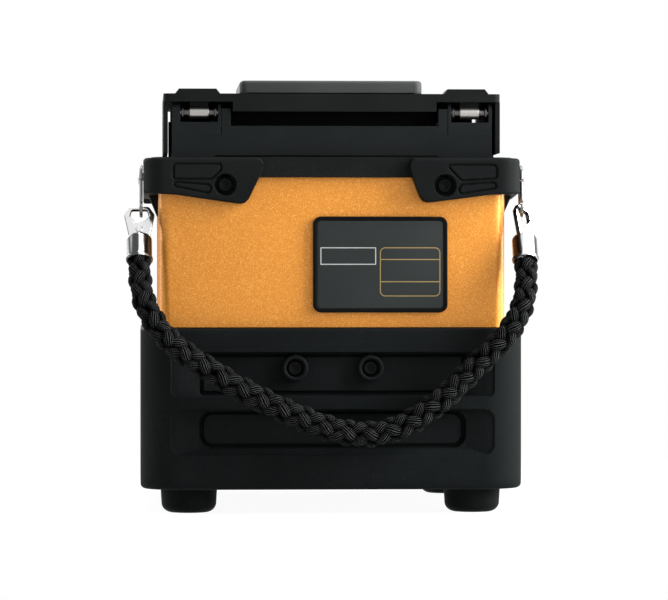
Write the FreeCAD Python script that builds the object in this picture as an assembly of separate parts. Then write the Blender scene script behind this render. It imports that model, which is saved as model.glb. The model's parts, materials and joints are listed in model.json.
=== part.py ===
"""Compact fibre fusion splicer in a rubber bumper, with a rope carry strap. Millimetres.

+Z is up, the rear face looks along -Y and the screen looks along +Y. The origin is on the
surface that the feet stand on, under the middle of the case.
"""
import FreeCAD, Part
import math
import os

V = FreeCAD.Vector
NODES = {}

# ---- Driving dimensions -------------------------------------------------------------------
fit_gap = 0.2            # loose fit between parts that are put together
move_gap = 0.3           # clear air between parts that move past each other
pin_gap = 0.05           # radial running clearance of a pin in its hole

# Metal body sleeve
body_width = 129.6
body_depth = 144.6
body_corner = 4.5
body_wall = 2.4
body_height = 110.9

# Rubber bumper that the body stands in
bumper_wall = 6.5
bumper_floor = 2.8
bumper_height = 59.2
bumper_corner = 15.0
bumper_edge_round = 2.0
panel_inset = 11.2       # from the bumper's side to the end of a recess
inner_inset = 10.5       # from there to the end of its deeper middle
recess_depth = 2.0
inner_depth = 3.6
window_low = 13.3        # heights above the bumper's lower edge
window_high = 29.9
window_ledge = 2.8
recess_low = 34.1
recess_high = 51.2
window_round = 5.0
ring_boss_radius = 4.9
ring_boss_bore = 3.4
ring_boss_spacing = 28.1
ring_boss_height = 45.2

# Feet, base plate and tripod insert
foot_height = 9.2
foot_radius = 10.7
foot_taper = 0.6
foot_inset_x = 18.2      # from the bumper's side to the foot's axis
foot_inset_y = 19.0
base_thickness = 2.5
screw_shank = 1.5        # M3
screw_head = 2.75
screw_head_height = 1.8
insert_radius = 5.0
insert_height = 9.0
insert_bore = 2.55       # tapping size of a quarter inch camera thread
insert_bore_depth = 7.5

# Top rim and corner guards
rim_overhang = 2.6
rim_height = 7.5
guard_thickness = 5.6
guard_top_gap = 0.3
guard_drop_corner = 4.6  # how far a guard hangs below the rim at the case's corner
guard_drop_lobe = 9.4    # and at its screw
guard_reach = 45.0       # from the case's corner to the guard's end on the rear face
guard_side_reach = 42.0
guard_front_reach = 11.0
guard_screw_inset_left = 30.4   # from a guard's outer side to its screw
guard_screw_inset_right = 27.6
guard_screw_drop = 2.6
guard_screw_recess = 2.4
wedge_width = 22.0       # the tapered root of a guard, lower down on the side wall
wedge_drop = 14.4

# Upper deck
deck_side_gap = 5.0      # from the sleeve's outside to the deck's side
deck_rear_gap = 1.1
deck_depth_below_rim = 12.9
deck_wall = 3.0
platform_height = 7.9    # working platform above the rim
platform_share = 0.605   # of the deck's length; the rest is the front shelf
rear_wall_height = 3.8
post_width = 3.4
post_height = 10.2
front_shelf_height = 1.1
well_width = 32.0
well_length = 32.0

# Wind cover and its hinges
hinge_height = 16.8      # hinge axis above the rim
hinge_inset = 3.6        # hinge axis in from the bracket's rear face
hinge_pin_radius = 1.0
bracket_width = 16.4
bracket_ear = 1.2
left_hinge_shift = 2.0   # the left hinge stands this much nearer the middle
bracket_floor = 5.2
sleeve_radius = 2.45
sleeve_length = 7.2
sleeve_neck = 1.75
sleeve_span = 13.2       # over both collars
collar_width = 1.0
cover_thickness = 3.0
cover_lift = 3.9         # underside of the cover above the hinge axis
cover_rear_overhang = 4.5
cover_front_overhang = 3.9
cover_wall = 1.7
cover_side_gap = 1.4
cover_edge_gap = 1.7     # between the skirts' lower edge and the rim
lip_gap = 0.8            # from the lip's ends to the deck's posts
lip_drop = 3.6
hump_width = 17.5
hump_inset = 4.0
hump_height = 1.8
hump_length = 15.0
top_plate_width = 68.6
top_plate_height = 5.4
top_plate_rear = 9.0     # behind the raised plate, to the cover's rear edge
top_plate_front = 19.0   # and in front of it
fiber_slot_width = 6.0
fiber_slot_height = 13.4

# Splicing point and what works round it
splice_from_rear = 43.2  # splice point in front of the deck's rear face
groove_height = 5.2      # fibre axis above the platform
groove_block_width = 35.0
groove_block_depth = 9.0
groove_gap = 7.0         # open middle between the two ceramic halves
electrode_radius = 1.0
electrode_length = 17.0
electrode_gap = 2.0
electrode_block = 8.0
stage_inner = 19.5       # from the splice point to the stage's near end
stage_length = 26.0
stage_width = 20.0
stage_height = 4.6
lid_thickness = 2.4
lid_length = 20.0
clamp_arm_width = 5.0
clamp_arm_thickness = 2.4
clamp_pivot_back = 19.0
clamp_offset = 7.5
microscope_radius = 6.0
microscope_length = 24.0
microscope_standoff = 18.0
camera_block = 16.0
saddle_height = 12.0

# Tube heater
heater_length = 84.0
heater_width = 20.0
heater_height = 7.0
heater_from_front = 25.0 # from the heater's middle to the deck's front edge
heater_slot = 5.2
heater_lid_thickness = 3.0
heater_tab_width = 14.0
heater_tab_reach = 3.0

# Screen unit
screen_width = 116.0
screen_height = 70.0
screen_thickness = 14.0
screen_wall = 2.4
screen_side_gap = 0.6
screen_pivot_down = 2.5  # pivot below the unit's top edge
screen_pivot_in = 2.8    # pivot in from the unit's back
screen_pin_radius = 1.6
lcd_width = 100.0
lcd_low_margin = 13.5    # from the unit's lower edge, over the keys, to the display
lcd_thickness = 3.0
glass_thickness = 1.1
lcd_top_margin = 4.5
key_size = 6.4
key_spacing = 18.0
key_margin = 6.0         # key centres above the unit's lower edge
key_travel = 0.4

# Front panel and battery
panel_thickness = 2.4
panel_setback = 9.9      # panel's front face behind the sleeve's front
battery_width = 84.0
battery_height = 28.0
battery_length = 62.0
battery_above_base = 4.0
bay_wall = 1.5
latch_width = 16.0
latch_height = 6.0
latch_travel = 3.0

# Electronics inside
shelf_height = 40.0      # shelf above the base plate
shelf_thickness = 2.0
main_board_width = 92.0
main_board_length = 94.0
main_board_gap = 20.3    # from the case's rear face to the board
board_thickness = 1.6
board_gap = 4.0
arc_board_height = 34.0
arc_board_lift = 10.0
board_part_offset = 19.0
transformer_size = 21.0
transformer_depth = 14.4
coil_size = 15.0
coil_depth = 8.4
pillar_radius = 3.0
pillar_inset = 10.0
fan_size = 40.0
fan_depth = 10.0
fan_height = 44.0        # fan axis above the shelf
fan_from_middle = 10.0
vent_width = 2.4
vent_length = 28.8
vent_pitch = 5.67

# Ports on the right side
port_width = 34.0
port_height = 20.0
port_from_front = 33.8   # from the panel's middle to the deck's front edge
port_above_shelf = 38.0
port_thickness = 3.0
jack_radius = 4.2
jack_bore = 2.8
jack_length = 11.0
usb_width = 8.4
usb_height = 3.6

# Label
label_width = 50.2
label_height = 35.8
label_thickness = 2.0
label_corner = 3.0
label_offset = 17.9      # label's middle to the right of the case's middle
label_drop = 32.5        # label's middle below the sleeve's top

# Carry strap
stud_from_rear = 14.0    # stud axis in front of the bumper's rear face
stud_drop = 6.9          # and below the rim's top
stud_radius = 1.9
stud_head = 3.2
link_thickness = 1.2
link_wire = 1.8
link_width = 8.4
link_drop = 11.6
link_angle = 10.0
cap_angle = 30.0
cap_eye_length = 13.4
cap_eye_wide = 11.4
cap_eye_narrow = 7.4
cap_eye_thickness = 1.8
eye_seat = 0.5           # from the link's lower wire up to the eye's middle
cap_radius = 4.7
cap_length = 9.6
cap_x = 71.8
rope_diameter = 8.8

# ---- Places worked out from the driving dimensions ----------------------------------------
half_body = body_width / 2
body_front = body_depth / 2
body_rear = -body_depth / 2
half_bumper = half_body + fit_gap + bumper_wall
bumper_front = body_front + fit_gap + bumper_wall
bumper_rear = -bumper_front
bumper_bottom = foot_height
bumper_top = bumper_bottom + bumper_height
base_bottom = bumper_bottom + bumper_floor
base_top = base_bottom + base_thickness
body_top = base_top + body_height
rim_bottom = body_top
rim_top = rim_bottom + rim_height
deck_half = half_body - deck_side_gap
deck_rear = body_rear + deck_rear_gap
deck_bottom = rim_top - deck_depth_below_rim
platform_z = rim_top + platform_height
shelf_z = rim_top + front_shelf_height
panel_front = body_front - panel_setback
panel_rear = panel_front - panel_thickness
deck_front = panel_rear - fit_gap
platform_front = deck_rear + platform_share * (deck_front - deck_rear)
hinge_z = rim_top + hinge_height
hinge_y = deck_rear + hinge_inset
cover_under = hinge_z + cover_lift
cover_rear = hinge_y - cover_rear_overhang
cover_front = platform_front + cover_front_overhang
cover_half = deck_half + cover_side_gap + cover_wall
cover_bottom = rim_top + cover_edge_gap
cover_top = cover_under + cover_thickness
splice_y = deck_rear + splice_from_rear
fiber_z = platform_z + groove_height
screen_top = rim_top - 1.9
screen_bottom = screen_top - screen_height
screen_front = bumper_front - move_gap
screen_back = screen_front - screen_thickness
screen_pivot_y = screen_back + screen_pivot_in
screen_pivot_z = screen_top - screen_pivot_down
inner_shelf = base_top + shelf_height
main_board_rear = body_rear + main_board_gap
battery_bottom = base_top + battery_above_base
battery_front = bumper_front - 1.0
battery_rear = battery_front - battery_length
guard_out = half_body + guard_thickness
guard_top = rim_top - guard_top_gap
stud_y = bumper_rear + stud_from_rear
stud_z = rim_top - stud_drop
link_in = guard_out + fit_gap
link_out = link_in + link_thickness

# Route of the strap's rope: hand-chosen points between the two caps. Each end starts with a
# straight run out of its cap, rope_lead long.
ROPE_ROUTE = [
    (-67.3, -88.3, 72.6), (-59.4, -88.8, 63.0), (-48.4, -88.0, 55.4), (-37.0, -88.4, 48.2),
    (-24.6, -88.0, 41.8), (-12.0, -88.4, 36.0), (0.4, -88.2, 31.4), (12.6, -88.0, 29.6),
    (24.0, -88.2, 32.2), (34.4, -88.4, 38.6), (44.0, -88.0, 46.8), (53.2, -88.4, 56.2),
    (62.1, -88.8, 64.7), (68.4, -87.8, 73.6),
]
rope_lead = 12.4


# ---- Shape helpers ------------------------------------------------------------------------
def box(x0, x1, y0, y1, z0, z1):
    """An upright block between two corners."""
    return Part.makeBox(x1 - x0, y1 - y0, z1 - z0, V(x0, y0, z0))


def rod(radius, start, end):
    """A round bar between two points."""
    line = end - start
    return Part.makeCylinder(radius, line.Length, start, line)


def tapered(radius_start, radius_end, start, end):
    """A cone frustum between two points."""
    line = end - start
    return Part.makeCone(radius_start, radius_end, line.Length, start, line)


def prism(points, shift):
    """A flat outline pushed along a vector."""
    wire = Part.makePolygon([V(*p) for p in points] + [V(*points[0])])
    return Part.Face(wire).extrude(V(*shift))


def outline_y(points, y0, y1):
    """An outline of (x, z) points pushed from y0 to y1."""
    return prism([(x, y0, z) for x, z in points], (0, y1 - y0, 0))


def outline_x(points, x0, x1):
    """An outline of (y, z) points pushed from x0 to x1."""
    return prism([(x0, y, z) for y, z in points], (x1 - x0, 0, 0))


def round_edges(shape, radius, choose):
    """Rounds the edges that the test picks."""
    edges = [e for e in shape.Edges if choose(e)]
    return shape.makeFillet(radius, edges) if edges else shape


def along(axis):
    """A test for straight edges that run along one axis."""
    def test(edge):
        if edge.Curve.TypeId != "Part::GeomLine":
            return False
        a, b = edge.Vertexes[0].Point, edge.Vertexes[-1].Point
        return abs(abs((b - a).normalize().dot(axis)) - 1) < 1e-6
    return test


def plan_block(half_x, y0, y1, radius, z0, z1):
    """A block whose upright edges are rounded."""
    block = box(-half_x, half_x, y0, y1, z0, z1)
    return round_edges(block, radius, along(V(0, 0, 1)))


def soft_box(x0, x1, y0, y1, z0, z1, radius, axis):
    """A block whose edges along one axis are rounded."""
    return round_edges(box(x0, x1, y0, y1, z0, z1), radius, along(axis))


def turned(shape, angle, centre, axis=V(1, 0, 0)):
    """A copy turned about an axis through a point."""
    copy = shape.copy()
    copy.rotate(centre, axis, angle)
    return copy


def mirrored(shape):
    """The same piece on the other side of the case."""
    return shape.mirror(V(0, 0, 0), V(1, 0, 0))


def group(shapes):
    """Like pieces that share one file."""
    return Part.makeCompound(shapes)


def save_pair(name, right):
    """Keeps a right-hand piece and its mirror image as two nodes."""
    NODES[name + "_right"] = right
    NODES[name + "_left"] = mirrored(right)


def socket_screw(tip, head_end, radius, head, height):
    """A socket head screw from its tip to the top of its head."""
    way = (head_end - tip).normalize()
    seat = head_end - way * height
    screw = rod(radius, tip, seat).fuse(rod(head, seat, head_end))
    return screw.cut(rod(head * 0.5, head_end - way * height * 0.6, head_end))


# ---- Body sleeve, bumper, base and feet ---------------------------------------------------
def body_sleeve():
    """Metal sleeve: rear and sides full height, front open for the screen and battery."""
    outer = plan_block(half_body, body_rear, body_front, body_corner, base_top, body_top)
    inner = plan_block(half_body - body_wall, body_rear + body_wall, body_front - body_wall,
                       body_corner - body_wall, base_top, body_top)
    sleeve = outer.cut(inner)
    screen_half = screen_width / 2 + screen_side_gap
    sleeve = sleeve.cut(box(-screen_half, screen_half, panel_front, bumper_front,
                            screen_bottom - screen_side_gap, body_top))
    sleeve = sleeve.cut(battery_opening(panel_front, bumper_front))
    sleeve = sleeve.cut(port_cutout(0))
    for shank in wall_screw_shanks():
        sleeve = sleeve.cut(shank)
    return sleeve.cut(vent_slots())


def wall_screw_shanks():
    """The screws' and studs' ways through the sleeve's walls."""
    shanks = []
    for side in (-1, 1):
        for x, z in (bumper_screw_axis(side), guard_screw_place(side)):
            shanks.append(rod(screw_shank, V(x, body_rear - 1, z),
                              V(x, body_rear + body_wall + 1, z)))
        shanks.append(rod(stud_radius, V(side * (half_body - body_wall - 1), stud_y, stud_z),
                          V(side * (half_body + 1), stud_y, stud_z)))
    return shanks


def vent_slots():
    """A row of upright vent slots in the left wall, in front of the fan."""
    slots = []
    z = inner_shelf + fan_height
    for step in (-3, -2, -1, 0, 1, 2, 3):
        y = fan_from_middle + step * vent_pitch
        slots.append(box(-half_body - 1, -half_body + body_wall + 1,
                         y - vent_width / 2, y + vent_width / 2,
                         z - vent_length / 2, z + vent_length / 2))
    return group(slots)


def battery_opening(y0, y1):
    """The way in for the battery, through whatever stands in front of the bay."""
    half = battery_width / 2 + move_gap
    return box(-half, half, y0, y1, battery_bottom - move_gap,
               battery_bottom + battery_height + move_gap)


def port_cutout(gap):
    """The opening for the port panel in the right wall."""
    z = inner_shelf + port_above_shelf
    return box(half_body - body_wall - 1, half_body + 1,
               port_middle() - port_width / 2 - gap, port_middle() + port_width / 2 + gap,
               z - port_height / 2 - gap, z + port_height / 2 + gap)


def bumper_face(half_span, face, depth_sign):
    """What is cut from one long face of the bumper, drawn on the rear face."""
    cuts = []
    end = half_span - panel_inset
    inner = end - inner_inset
    z = bumper_bottom
    for low, high, ledge in ((window_low, window_high, window_ledge),
                             (recess_low, recess_high, 0)):
        for half, depth, lift in ((end, recess_depth, 0), (inner, inner_depth, ledge)):
            y0, y1 = sorted((face - depth_sign, face + depth_sign * depth))
            cuts.append(soft_box(-half, half, y0, y1, z + low + lift, z + high,
                                 window_round * 0.7, V(0, 1, 0)))
    return group(cuts)


def ring_bosses():
    """Two ring bosses in the rear recess, each with a stem up to the rim band."""
    bosses = []
    z = bumper_bottom + ring_boss_height
    floor, face = bumper_rear + inner_depth, bumper_rear + 0.4
    for side in (-1, 1):
        x = side * ring_boss_spacing / 2
        ring = rod(ring_boss_radius, V(x, floor + 0.5, z), V(x, face, z))
        stem = box(x - 1.2, x + 1.2, face + 0.8, floor + 0.5, z, bumper_bottom + recess_high)
        bosses.append(ring.fuse(stem))
    return bosses


def bumper_screw_axis(side):
    """A bumper screw's place on the rear face, as (x, z)."""
    return side * ring_boss_spacing / 2, bumper_bottom + ring_boss_height


def bumper_case():
    """Moulded rubber tub with recessed panels, open at the top."""
    outer = plan_block(half_bumper, bumper_rear, bumper_front, bumper_corner,
                       bumper_bottom, bumper_top)
    outer = round_edges(outer, bumper_edge_round, lambda e: all(
        min(abs(v.Point.z - bumper_bottom), abs(v.Point.z - bumper_top)) < 1e-6
        for v in e.Vertexes) and abs(e.BoundBox.ZLength) < 1e-6)
    hollow = plan_block(half_body + fit_gap, body_rear - fit_gap, body_front + fit_gap,
                        body_corner, base_bottom, bumper_top)
    shell = outer.cut(hollow)
    shell = shell.cut(bumper_face(half_bumper, bumper_rear, 1))
    sides = turned(bumper_face(bumper_front, -half_bumper, 1), 90, V(0, 0, 0), V(0, 0, 1))
    shell = shell.cut(sides).cut(mirrored(sides))
    screen_half = screen_width / 2 + screen_side_gap
    shell = shell.cut(box(-screen_half, screen_half, panel_front, bumper_front + 1,
                          screen_bottom - screen_side_gap, bumper_top + 1))
    shell = shell.cut(battery_opening(body_front - 1, bumper_front + 1))
    for boss in ring_bosses():
        shell = shell.fuse(boss)
    for side in (-1, 1):
        x, z = bumper_screw_axis(side)
        shell = shell.cut(rod(ring_boss_bore, V(x, bumper_rear - 1, z),
                              V(x, bumper_rear + inner_depth, z)))
        shell = shell.cut(rod(screw_shank, V(x, bumper_rear, z), V(x, body_rear + 1, z)))
    for x, y in foot_places():
        shell = shell.cut(rod(screw_shank, V(x, y, bumper_bottom - 1), V(x, y, base_bottom + 1)))
    return shell.cut(rod(insert_radius + fit_gap, V(0, 0, bumper_bottom - 1),
                         V(0, 0, base_bottom + 1)))


def foot_places():
    """The four feet, as (x, y)."""
    x, y = half_bumper - foot_inset_x, bumper_front - foot_inset_y
    return [(-x, -y), (x, -y), (-x, y), (x, y)]


def foot(x, y):
    """Round rubber foot with a recess for its screw."""
    body = tapered(foot_radius - foot_taper, foot_radius, V(x, y, 0), V(x, y, foot_height))
    body = round_edges(body, 1.2, lambda e: abs(e.BoundBox.ZMax) < 1e-6)
    body = body.cut(rod(screw_head + fit_gap, V(x, y, -1), V(x, y, foot_height / 2)))
    return body.cut(rod(screw_shank, V(x, y, -1), V(x, y, foot_height + 1)))


def base_plate():
    """Flat metal floor of the case, with tapped holes and the insert's seat."""
    plate = plan_block(half_body - fit_gap, body_rear + fit_gap, body_front - fit_gap,
                       body_corner, base_bottom, base_top)
    for x, y in foot_places():
        plate = plate.cut(rod(screw_shank, V(x, y, 0), V(x, y, base_top + 1)))
    return plate.cut(rod(insert_radius, V(0, 0, 0), V(0, 0, base_top + 1)))


def tripod_insert():
    """Threaded camera insert, shouldered above the base plate."""
    body = rod(insert_radius, V(0, 0, bumper_bottom), V(0, 0, base_top))
    body = body.fuse(rod(insert_radius + 2, V(0, 0, base_top),
                         V(0, 0, bumper_bottom + insert_height)))
    return body.cut(rod(insert_bore, V(0, 0, bumper_bottom - 1),
                        V(0, 0, bumper_bottom + insert_bore_depth)))


def case_screws():
    """The M3 case screws: through the feet, the bumper's ring bosses and the rear guards."""
    seat = body_rear - guard_thickness + guard_screw_recess - screw_head_height
    screws = []
    for side in (-1, 1):
        x, z = guard_screw_place(side)
        screws.append(socket_screw(V(x, body_rear + body_wall, z), V(x, seat, z),
                                   screw_shank, screw_head, screw_head_height))
    for x, y in foot_places():
        screws.append(socket_screw(V(x, y, base_top), V(x, y, foot_height / 2 - screw_head_height),
                                   screw_shank, screw_head, screw_head_height))
    for side in (-1, 1):
        x, z = bumper_screw_axis(side)
        screws.append(socket_screw(V(x, body_rear + body_wall, z),
                                   V(x, bumper_rear + inner_depth - screw_head_height, z),
                                   screw_shank, screw_head, screw_head_height))
    return group(screws)


# ---- Rim frame and corner guards ----------------------------------------------------------
def rim_frame():
    """Frame that caps the sleeve, open over the deck and cut away for the screen."""
    out_x = half_body + rim_overhang
    frame = plan_block(out_x, body_rear - rim_overhang, body_front + rim_overhang,
                       body_corner + rim_overhang, rim_bottom, rim_top)
    frame = frame.cut(box(-deck_half - fit_gap, deck_half + fit_gap, deck_rear - fit_gap,
                          deck_front + fit_gap, rim_bottom - 1, rim_top + 1))
    screen_half = screen_width / 2 + screen_side_gap
    frame = frame.cut(box(-screen_half, screen_half, panel_front, bumper_front + 1,
                          rim_bottom - 1, rim_top + 1))
    for side in (-1, 1):
        frame = frame.cut(rod(screen_pin_radius, V(side * (screen_half - 1), screen_pivot_y,
                                                   screen_pivot_z),
                              V(side * (screen_half + 4), screen_pivot_y, screen_pivot_z)))
        frame = frame.cut(rod(stud_radius, V(side * (half_body - 4), stud_y, stud_z),
                              V(side * (out_x + 1), stud_y, stud_z)))
    return frame


def guard_ring():
    """The ring of space that all four guards are cut from."""
    low = rim_bottom - wedge_drop
    ring = plan_block(guard_out, body_rear - guard_thickness, body_front + guard_thickness,
                      bumper_corner - 1, low, guard_top)
    ring = round_edges(ring, 1.2, lambda e: abs(e.BoundBox.ZLength) < 1e-6
                       and abs(e.BoundBox.ZMax - guard_top) < 1e-6)
    ring = ring.cut(plan_block(half_body, body_rear, body_front, body_corner,
                               low - 1, rim_bottom))
    return ring.cut(plan_block(half_body + rim_overhang, body_rear - rim_overhang,
                               body_front + rim_overhang, body_corner + rim_overhang,
                               rim_bottom, rim_top))


def guard_rear_outline():
    """A right rear guard seen from behind: flat top, slanted end, low lobe at the screw."""
    out = guard_out + 1
    end = guard_out - guard_reach
    low, corner = rim_bottom - guard_drop_lobe, rim_bottom - guard_drop_corner
    return [(out, rim_top), (end + 1.6, rim_top), (end, rim_bottom + 5.2),
            (end + 2.2, rim_bottom + 0.2), (end + 5.4, low + 1.6), (end + 7.6, low + 0.2),
            (end + 9.6, low), (end + 13.4, low + 0.4), (out - 12.0, corner - 0.2), (out, corner)]


def guard_side_outline():
    """The same guard seen from the side, as (y, z), from the corner forward."""
    near = body_rear - guard_thickness - 1
    far = near + guard_side_reach
    low, corner = rim_bottom - guard_drop_lobe * 0.8, rim_bottom - guard_drop_corner
    return [(near, rim_top), (far - 2, rim_top), (far, rim_bottom + 4), (far - 4, low + 2),
            (far - 7, low), (near + 10, corner), (near, corner)]


def side_wedge(y_middle):
    """Tapered root of a guard on the side wall: thick at the guard, thin at its lower edge."""
    top = rim_bottom - guard_drop_corner + 0.5
    low = rim_bottom - wedge_drop
    y0, y1 = y_middle - wedge_width / 2, y_middle + wedge_width / 2
    wedge = prism([(half_body, y0, top), (guard_out - 1, y0, top), (half_body, y0, low)],
                  (0, y1 - y0, 0))
    ends = prism([(half_body - 1, y0, top + 1), (half_body - 1, y1, top + 1),
                  (half_body - 1, y1 - 5, low - 1), (half_body - 1, y0 + 5, low - 1)],
                 (guard_thickness + 2, 0, 0))
    return wedge.common(ends)


def guard_grooves(screw_x, screw_z):
    """Two shallow grooves on a rear guard, outboard of its screw."""
    face = body_rear - guard_thickness
    upper = [(screw_x + 1.6, screw_z + 7.6), (guard_out - 10.0, screw_z + 7.6),
             (guard_out - 10.0, screw_z + 2.4), (screw_x + 5.4, screw_z + 2.4)]
    lower = [(screw_x + 5.2, screw_z + 1.0), (guard_out - 11.0, screw_z + 1.0),
             (guard_out - 11.0, screw_z - 1.2), (screw_x + 5.2, screw_z - 2.6)]
    return group([outline_y(p, face - 1, face + 0.6) for p in (upper, lower)])


def guard_screw_place(side):
    """A rear guard's screw, as (x, z)."""
    inset = guard_screw_inset_right if side > 0 else guard_screw_inset_left
    return side * (guard_out - inset), rim_bottom - guard_screw_drop


def rear_guard(screw_x, screw_z):
    """Rear corner guard, shown on the right side, with its screw recess."""
    ring = guard_ring()
    face = body_rear - guard_thickness
    seen_rear = outline_y(guard_rear_outline(), face - 1, body_rear)
    seen_side = outline_x(guard_side_outline(), half_body, guard_out + 1)
    corner = box(half_body - bumper_corner, guard_out + 1, face - 1, body_rear + bumper_corner,
                 rim_bottom - guard_drop_corner, rim_top)
    shape = ring.common(seen_rear.fuse(seen_side).fuse(corner))
    shape = shape.fuse(side_wedge(face + guard_side_reach - 15))
    shape = shape.cut(guard_grooves(screw_x, screw_z))
    shape = shape.cut(rod(screw_head + 1.0, V(screw_x, face - 1, screw_z),
                          V(screw_x, face + guard_screw_recess, screw_z)))
    shape = shape.cut(rod(screw_shank, V(screw_x, face, screw_z),
                          V(screw_x, body_rear + 1, screw_z)))
    return shape.cut(rod(stud_radius, V(half_body - 1, stud_y, stud_z),
                         V(guard_out + 1, stud_y, stud_z)))


def front_guard():
    """Right front corner guard: short on the front, beside the screen."""
    ring = guard_ring()
    near = body_front + guard_thickness
    low, corner = rim_bottom - guard_drop_lobe * 0.8, rim_bottom - guard_drop_corner
    far = near - guard_side_reach
    seen_side = outline_x([(near + 1, rim_top), (far + 2, rim_top), (far, rim_bottom + 4),
                           (far + 4, low + 2), (far + 7, low), (near - 10, corner),
                           (near + 1, corner)], half_body, guard_out + 1)
    block = box(guard_out - guard_front_reach, guard_out + 1, body_front - bumper_corner,
                near + 1, corner, rim_top)
    return ring.common(seen_side.fuse(block))


def label_plate():
    """Raised rating plate on the rear face, printed side bare."""
    z = body_top - label_drop
    plate = soft_box(label_offset - label_width / 2, label_offset + label_width / 2,
                     body_rear - label_thickness, body_rear, z - label_height / 2,
                     z + label_height / 2, label_corner, V(0, 1, 0))
    return round_edges(plate, 0.4, lambda e: abs(e.BoundBox.YLength) < 1e-6
                       and abs(e.BoundBox.YMin - (body_rear - label_thickness)) < 1e-6)


# ---- Upper deck and what stands on it -----------------------------------------------------
def bracket_inner(side):
    """The inner side of the right (1) or left (-1) hinge bracket, from the case's middle."""
    return deck_half - bracket_width - (left_hinge_shift if side < 0 else 0)


def post_inner(side):
    """The inner side of a rear post, which stands against its bracket."""
    return bracket_inner(side) - fit_gap - post_width


def upper_deck():
    """Moulded deck: a working platform at the rear and a low shelf in front."""
    deck = box(-deck_half, deck_half, deck_rear, platform_front, deck_bottom, platform_z)
    deck = deck.fuse(box(-deck_half, deck_half, platform_front, deck_front,
                         deck_bottom, shelf_z))
    inside = deck_half - deck_wall
    deck = deck.cut(box(-inside, inside, deck_rear + deck_wall, platform_front - deck_wall,
                        deck_bottom - 1, platform_z - deck_wall))
    deck = deck.cut(box(-inside, inside, platform_front - deck_wall, deck_front - deck_wall,
                        deck_bottom - 1, shelf_z - deck_wall))
    inside_sleeve = plan_block(half_body - body_wall - fit_gap, body_rear + body_wall + fit_gap,
                               body_front, body_corner - body_wall, deck_bottom, rim_bottom)
    below_rim = box(-half_body, half_body, body_rear, body_front, deck_bottom, rim_bottom)
    deck = deck.cut(below_rim.cut(inside_sleeve))
    well = well_width / 2
    deck = deck.cut(box(-well, well, splice_y - well_length / 2, splice_y + well_length / 2,
                        deck_bottom - 1, platform_z + 1))
    deck = deck.fuse(box(-post_inner(-1), post_inner(1), deck_rear, deck_rear + deck_wall,
                         platform_z, platform_z + rear_wall_height))
    for side in (-1, 1):
        x0, x1 = sorted((side * post_inner(side), side * (post_inner(side) + post_width)))
        deck = deck.fuse(box(x0, x1, deck_rear, deck_rear + deck_wall,
                             platform_z, platform_z + post_height))
        deck = deck.fuse(clamp_ears(side))
    return deck


def clamp_ears(side):
    """Two ears that carry a fibre clamp arm's pivot."""
    y, z = clamp_pivot()
    ears = []
    for offset in (-1, 1):
        x = side * clamp_offset + offset * (clamp_arm_width / 2 + move_gap + 0.75)
        ear = box(x - 0.75, x + 0.75, y - 1.8, y + 1.8, platform_z - 0.5, z)
        ear = ear.fuse(rod(1.8, V(x - 0.75, y, z), V(x + 0.75, y, z)))
        ears.append(ear.cut(rod(0.8 + pin_gap, V(x - 2, y, z), V(x + 2, y, z))))
    return group(ears)


def clamp_pivot():
    """The clamp arms' pivot, as (y, z)."""
    return splice_y - clamp_pivot_back, fiber_z + 2.2


def hinge_bracket(side):
    """Hinge bracket, as on the right: a floor block and two ears, rounded about the pin."""
    x0, x1 = bracket_inner(side), deck_half
    outer_ear = x1 - x0 - bracket_width + bracket_ear
    rear = hinge_y - hinge_inset
    front = hinge_y + hinge_inset
    bracket = box(x0, x1, rear, front, platform_z, platform_z + bracket_floor)
    for a, b in ((x0, x0 + bracket_ear), (x1 - outer_ear, x1)):
        ear = box(a, b, rear, front, platform_z, hinge_z)
        ear = ear.fuse(rod(hinge_inset, V(a, hinge_y, hinge_z), V(b, hinge_y, hinge_z)))
        bracket = bracket.fuse(ear)
    return bracket.cut(rod(hinge_pin_radius, V(x0 - 1, hinge_y, hinge_z),
                           V(x1 + 1, hinge_y, hinge_z)))


def hinge_pin(side):
    """Hinge pin, as on the right, pressed in the bracket's ears."""
    return rod(hinge_pin_radius, V(bracket_inner(side), hinge_y, hinge_z),
               V(deck_half, hinge_y, hinge_z))


def hinge_sleeve(side):
    """Steel sleeve, as on the right: barrel, necks, end collars and a leaf up to the cover."""
    x = bracket_inner(side) + bracket_width / 2
    sleeve = None
    for radius, start, end in ((sleeve_radius, -sleeve_length / 2, sleeve_length / 2),
                               (sleeve_neck, -sleeve_span / 2, sleeve_span / 2),
                               (sleeve_radius, -sleeve_span / 2, collar_width - sleeve_span / 2),
                               (sleeve_radius, sleeve_span / 2 - collar_width, sleeve_span / 2)):
        ring = rod(radius, V(x + start, hinge_y, hinge_z), V(x + end, hinge_y, hinge_z))
        sleeve = sleeve.fuse(ring) if sleeve else ring
    sleeve = sleeve.fuse(box(x - sleeve_length / 2, x + sleeve_length / 2, hinge_y - 0.6,
                             hinge_y + 0.6, hinge_z, cover_under))
    return sleeve.cut(rod(hinge_pin_radius + pin_gap, V(x - bracket_width, hinge_y, hinge_z),
                          V(x + bracket_width, hinge_y, hinge_z)))


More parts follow.
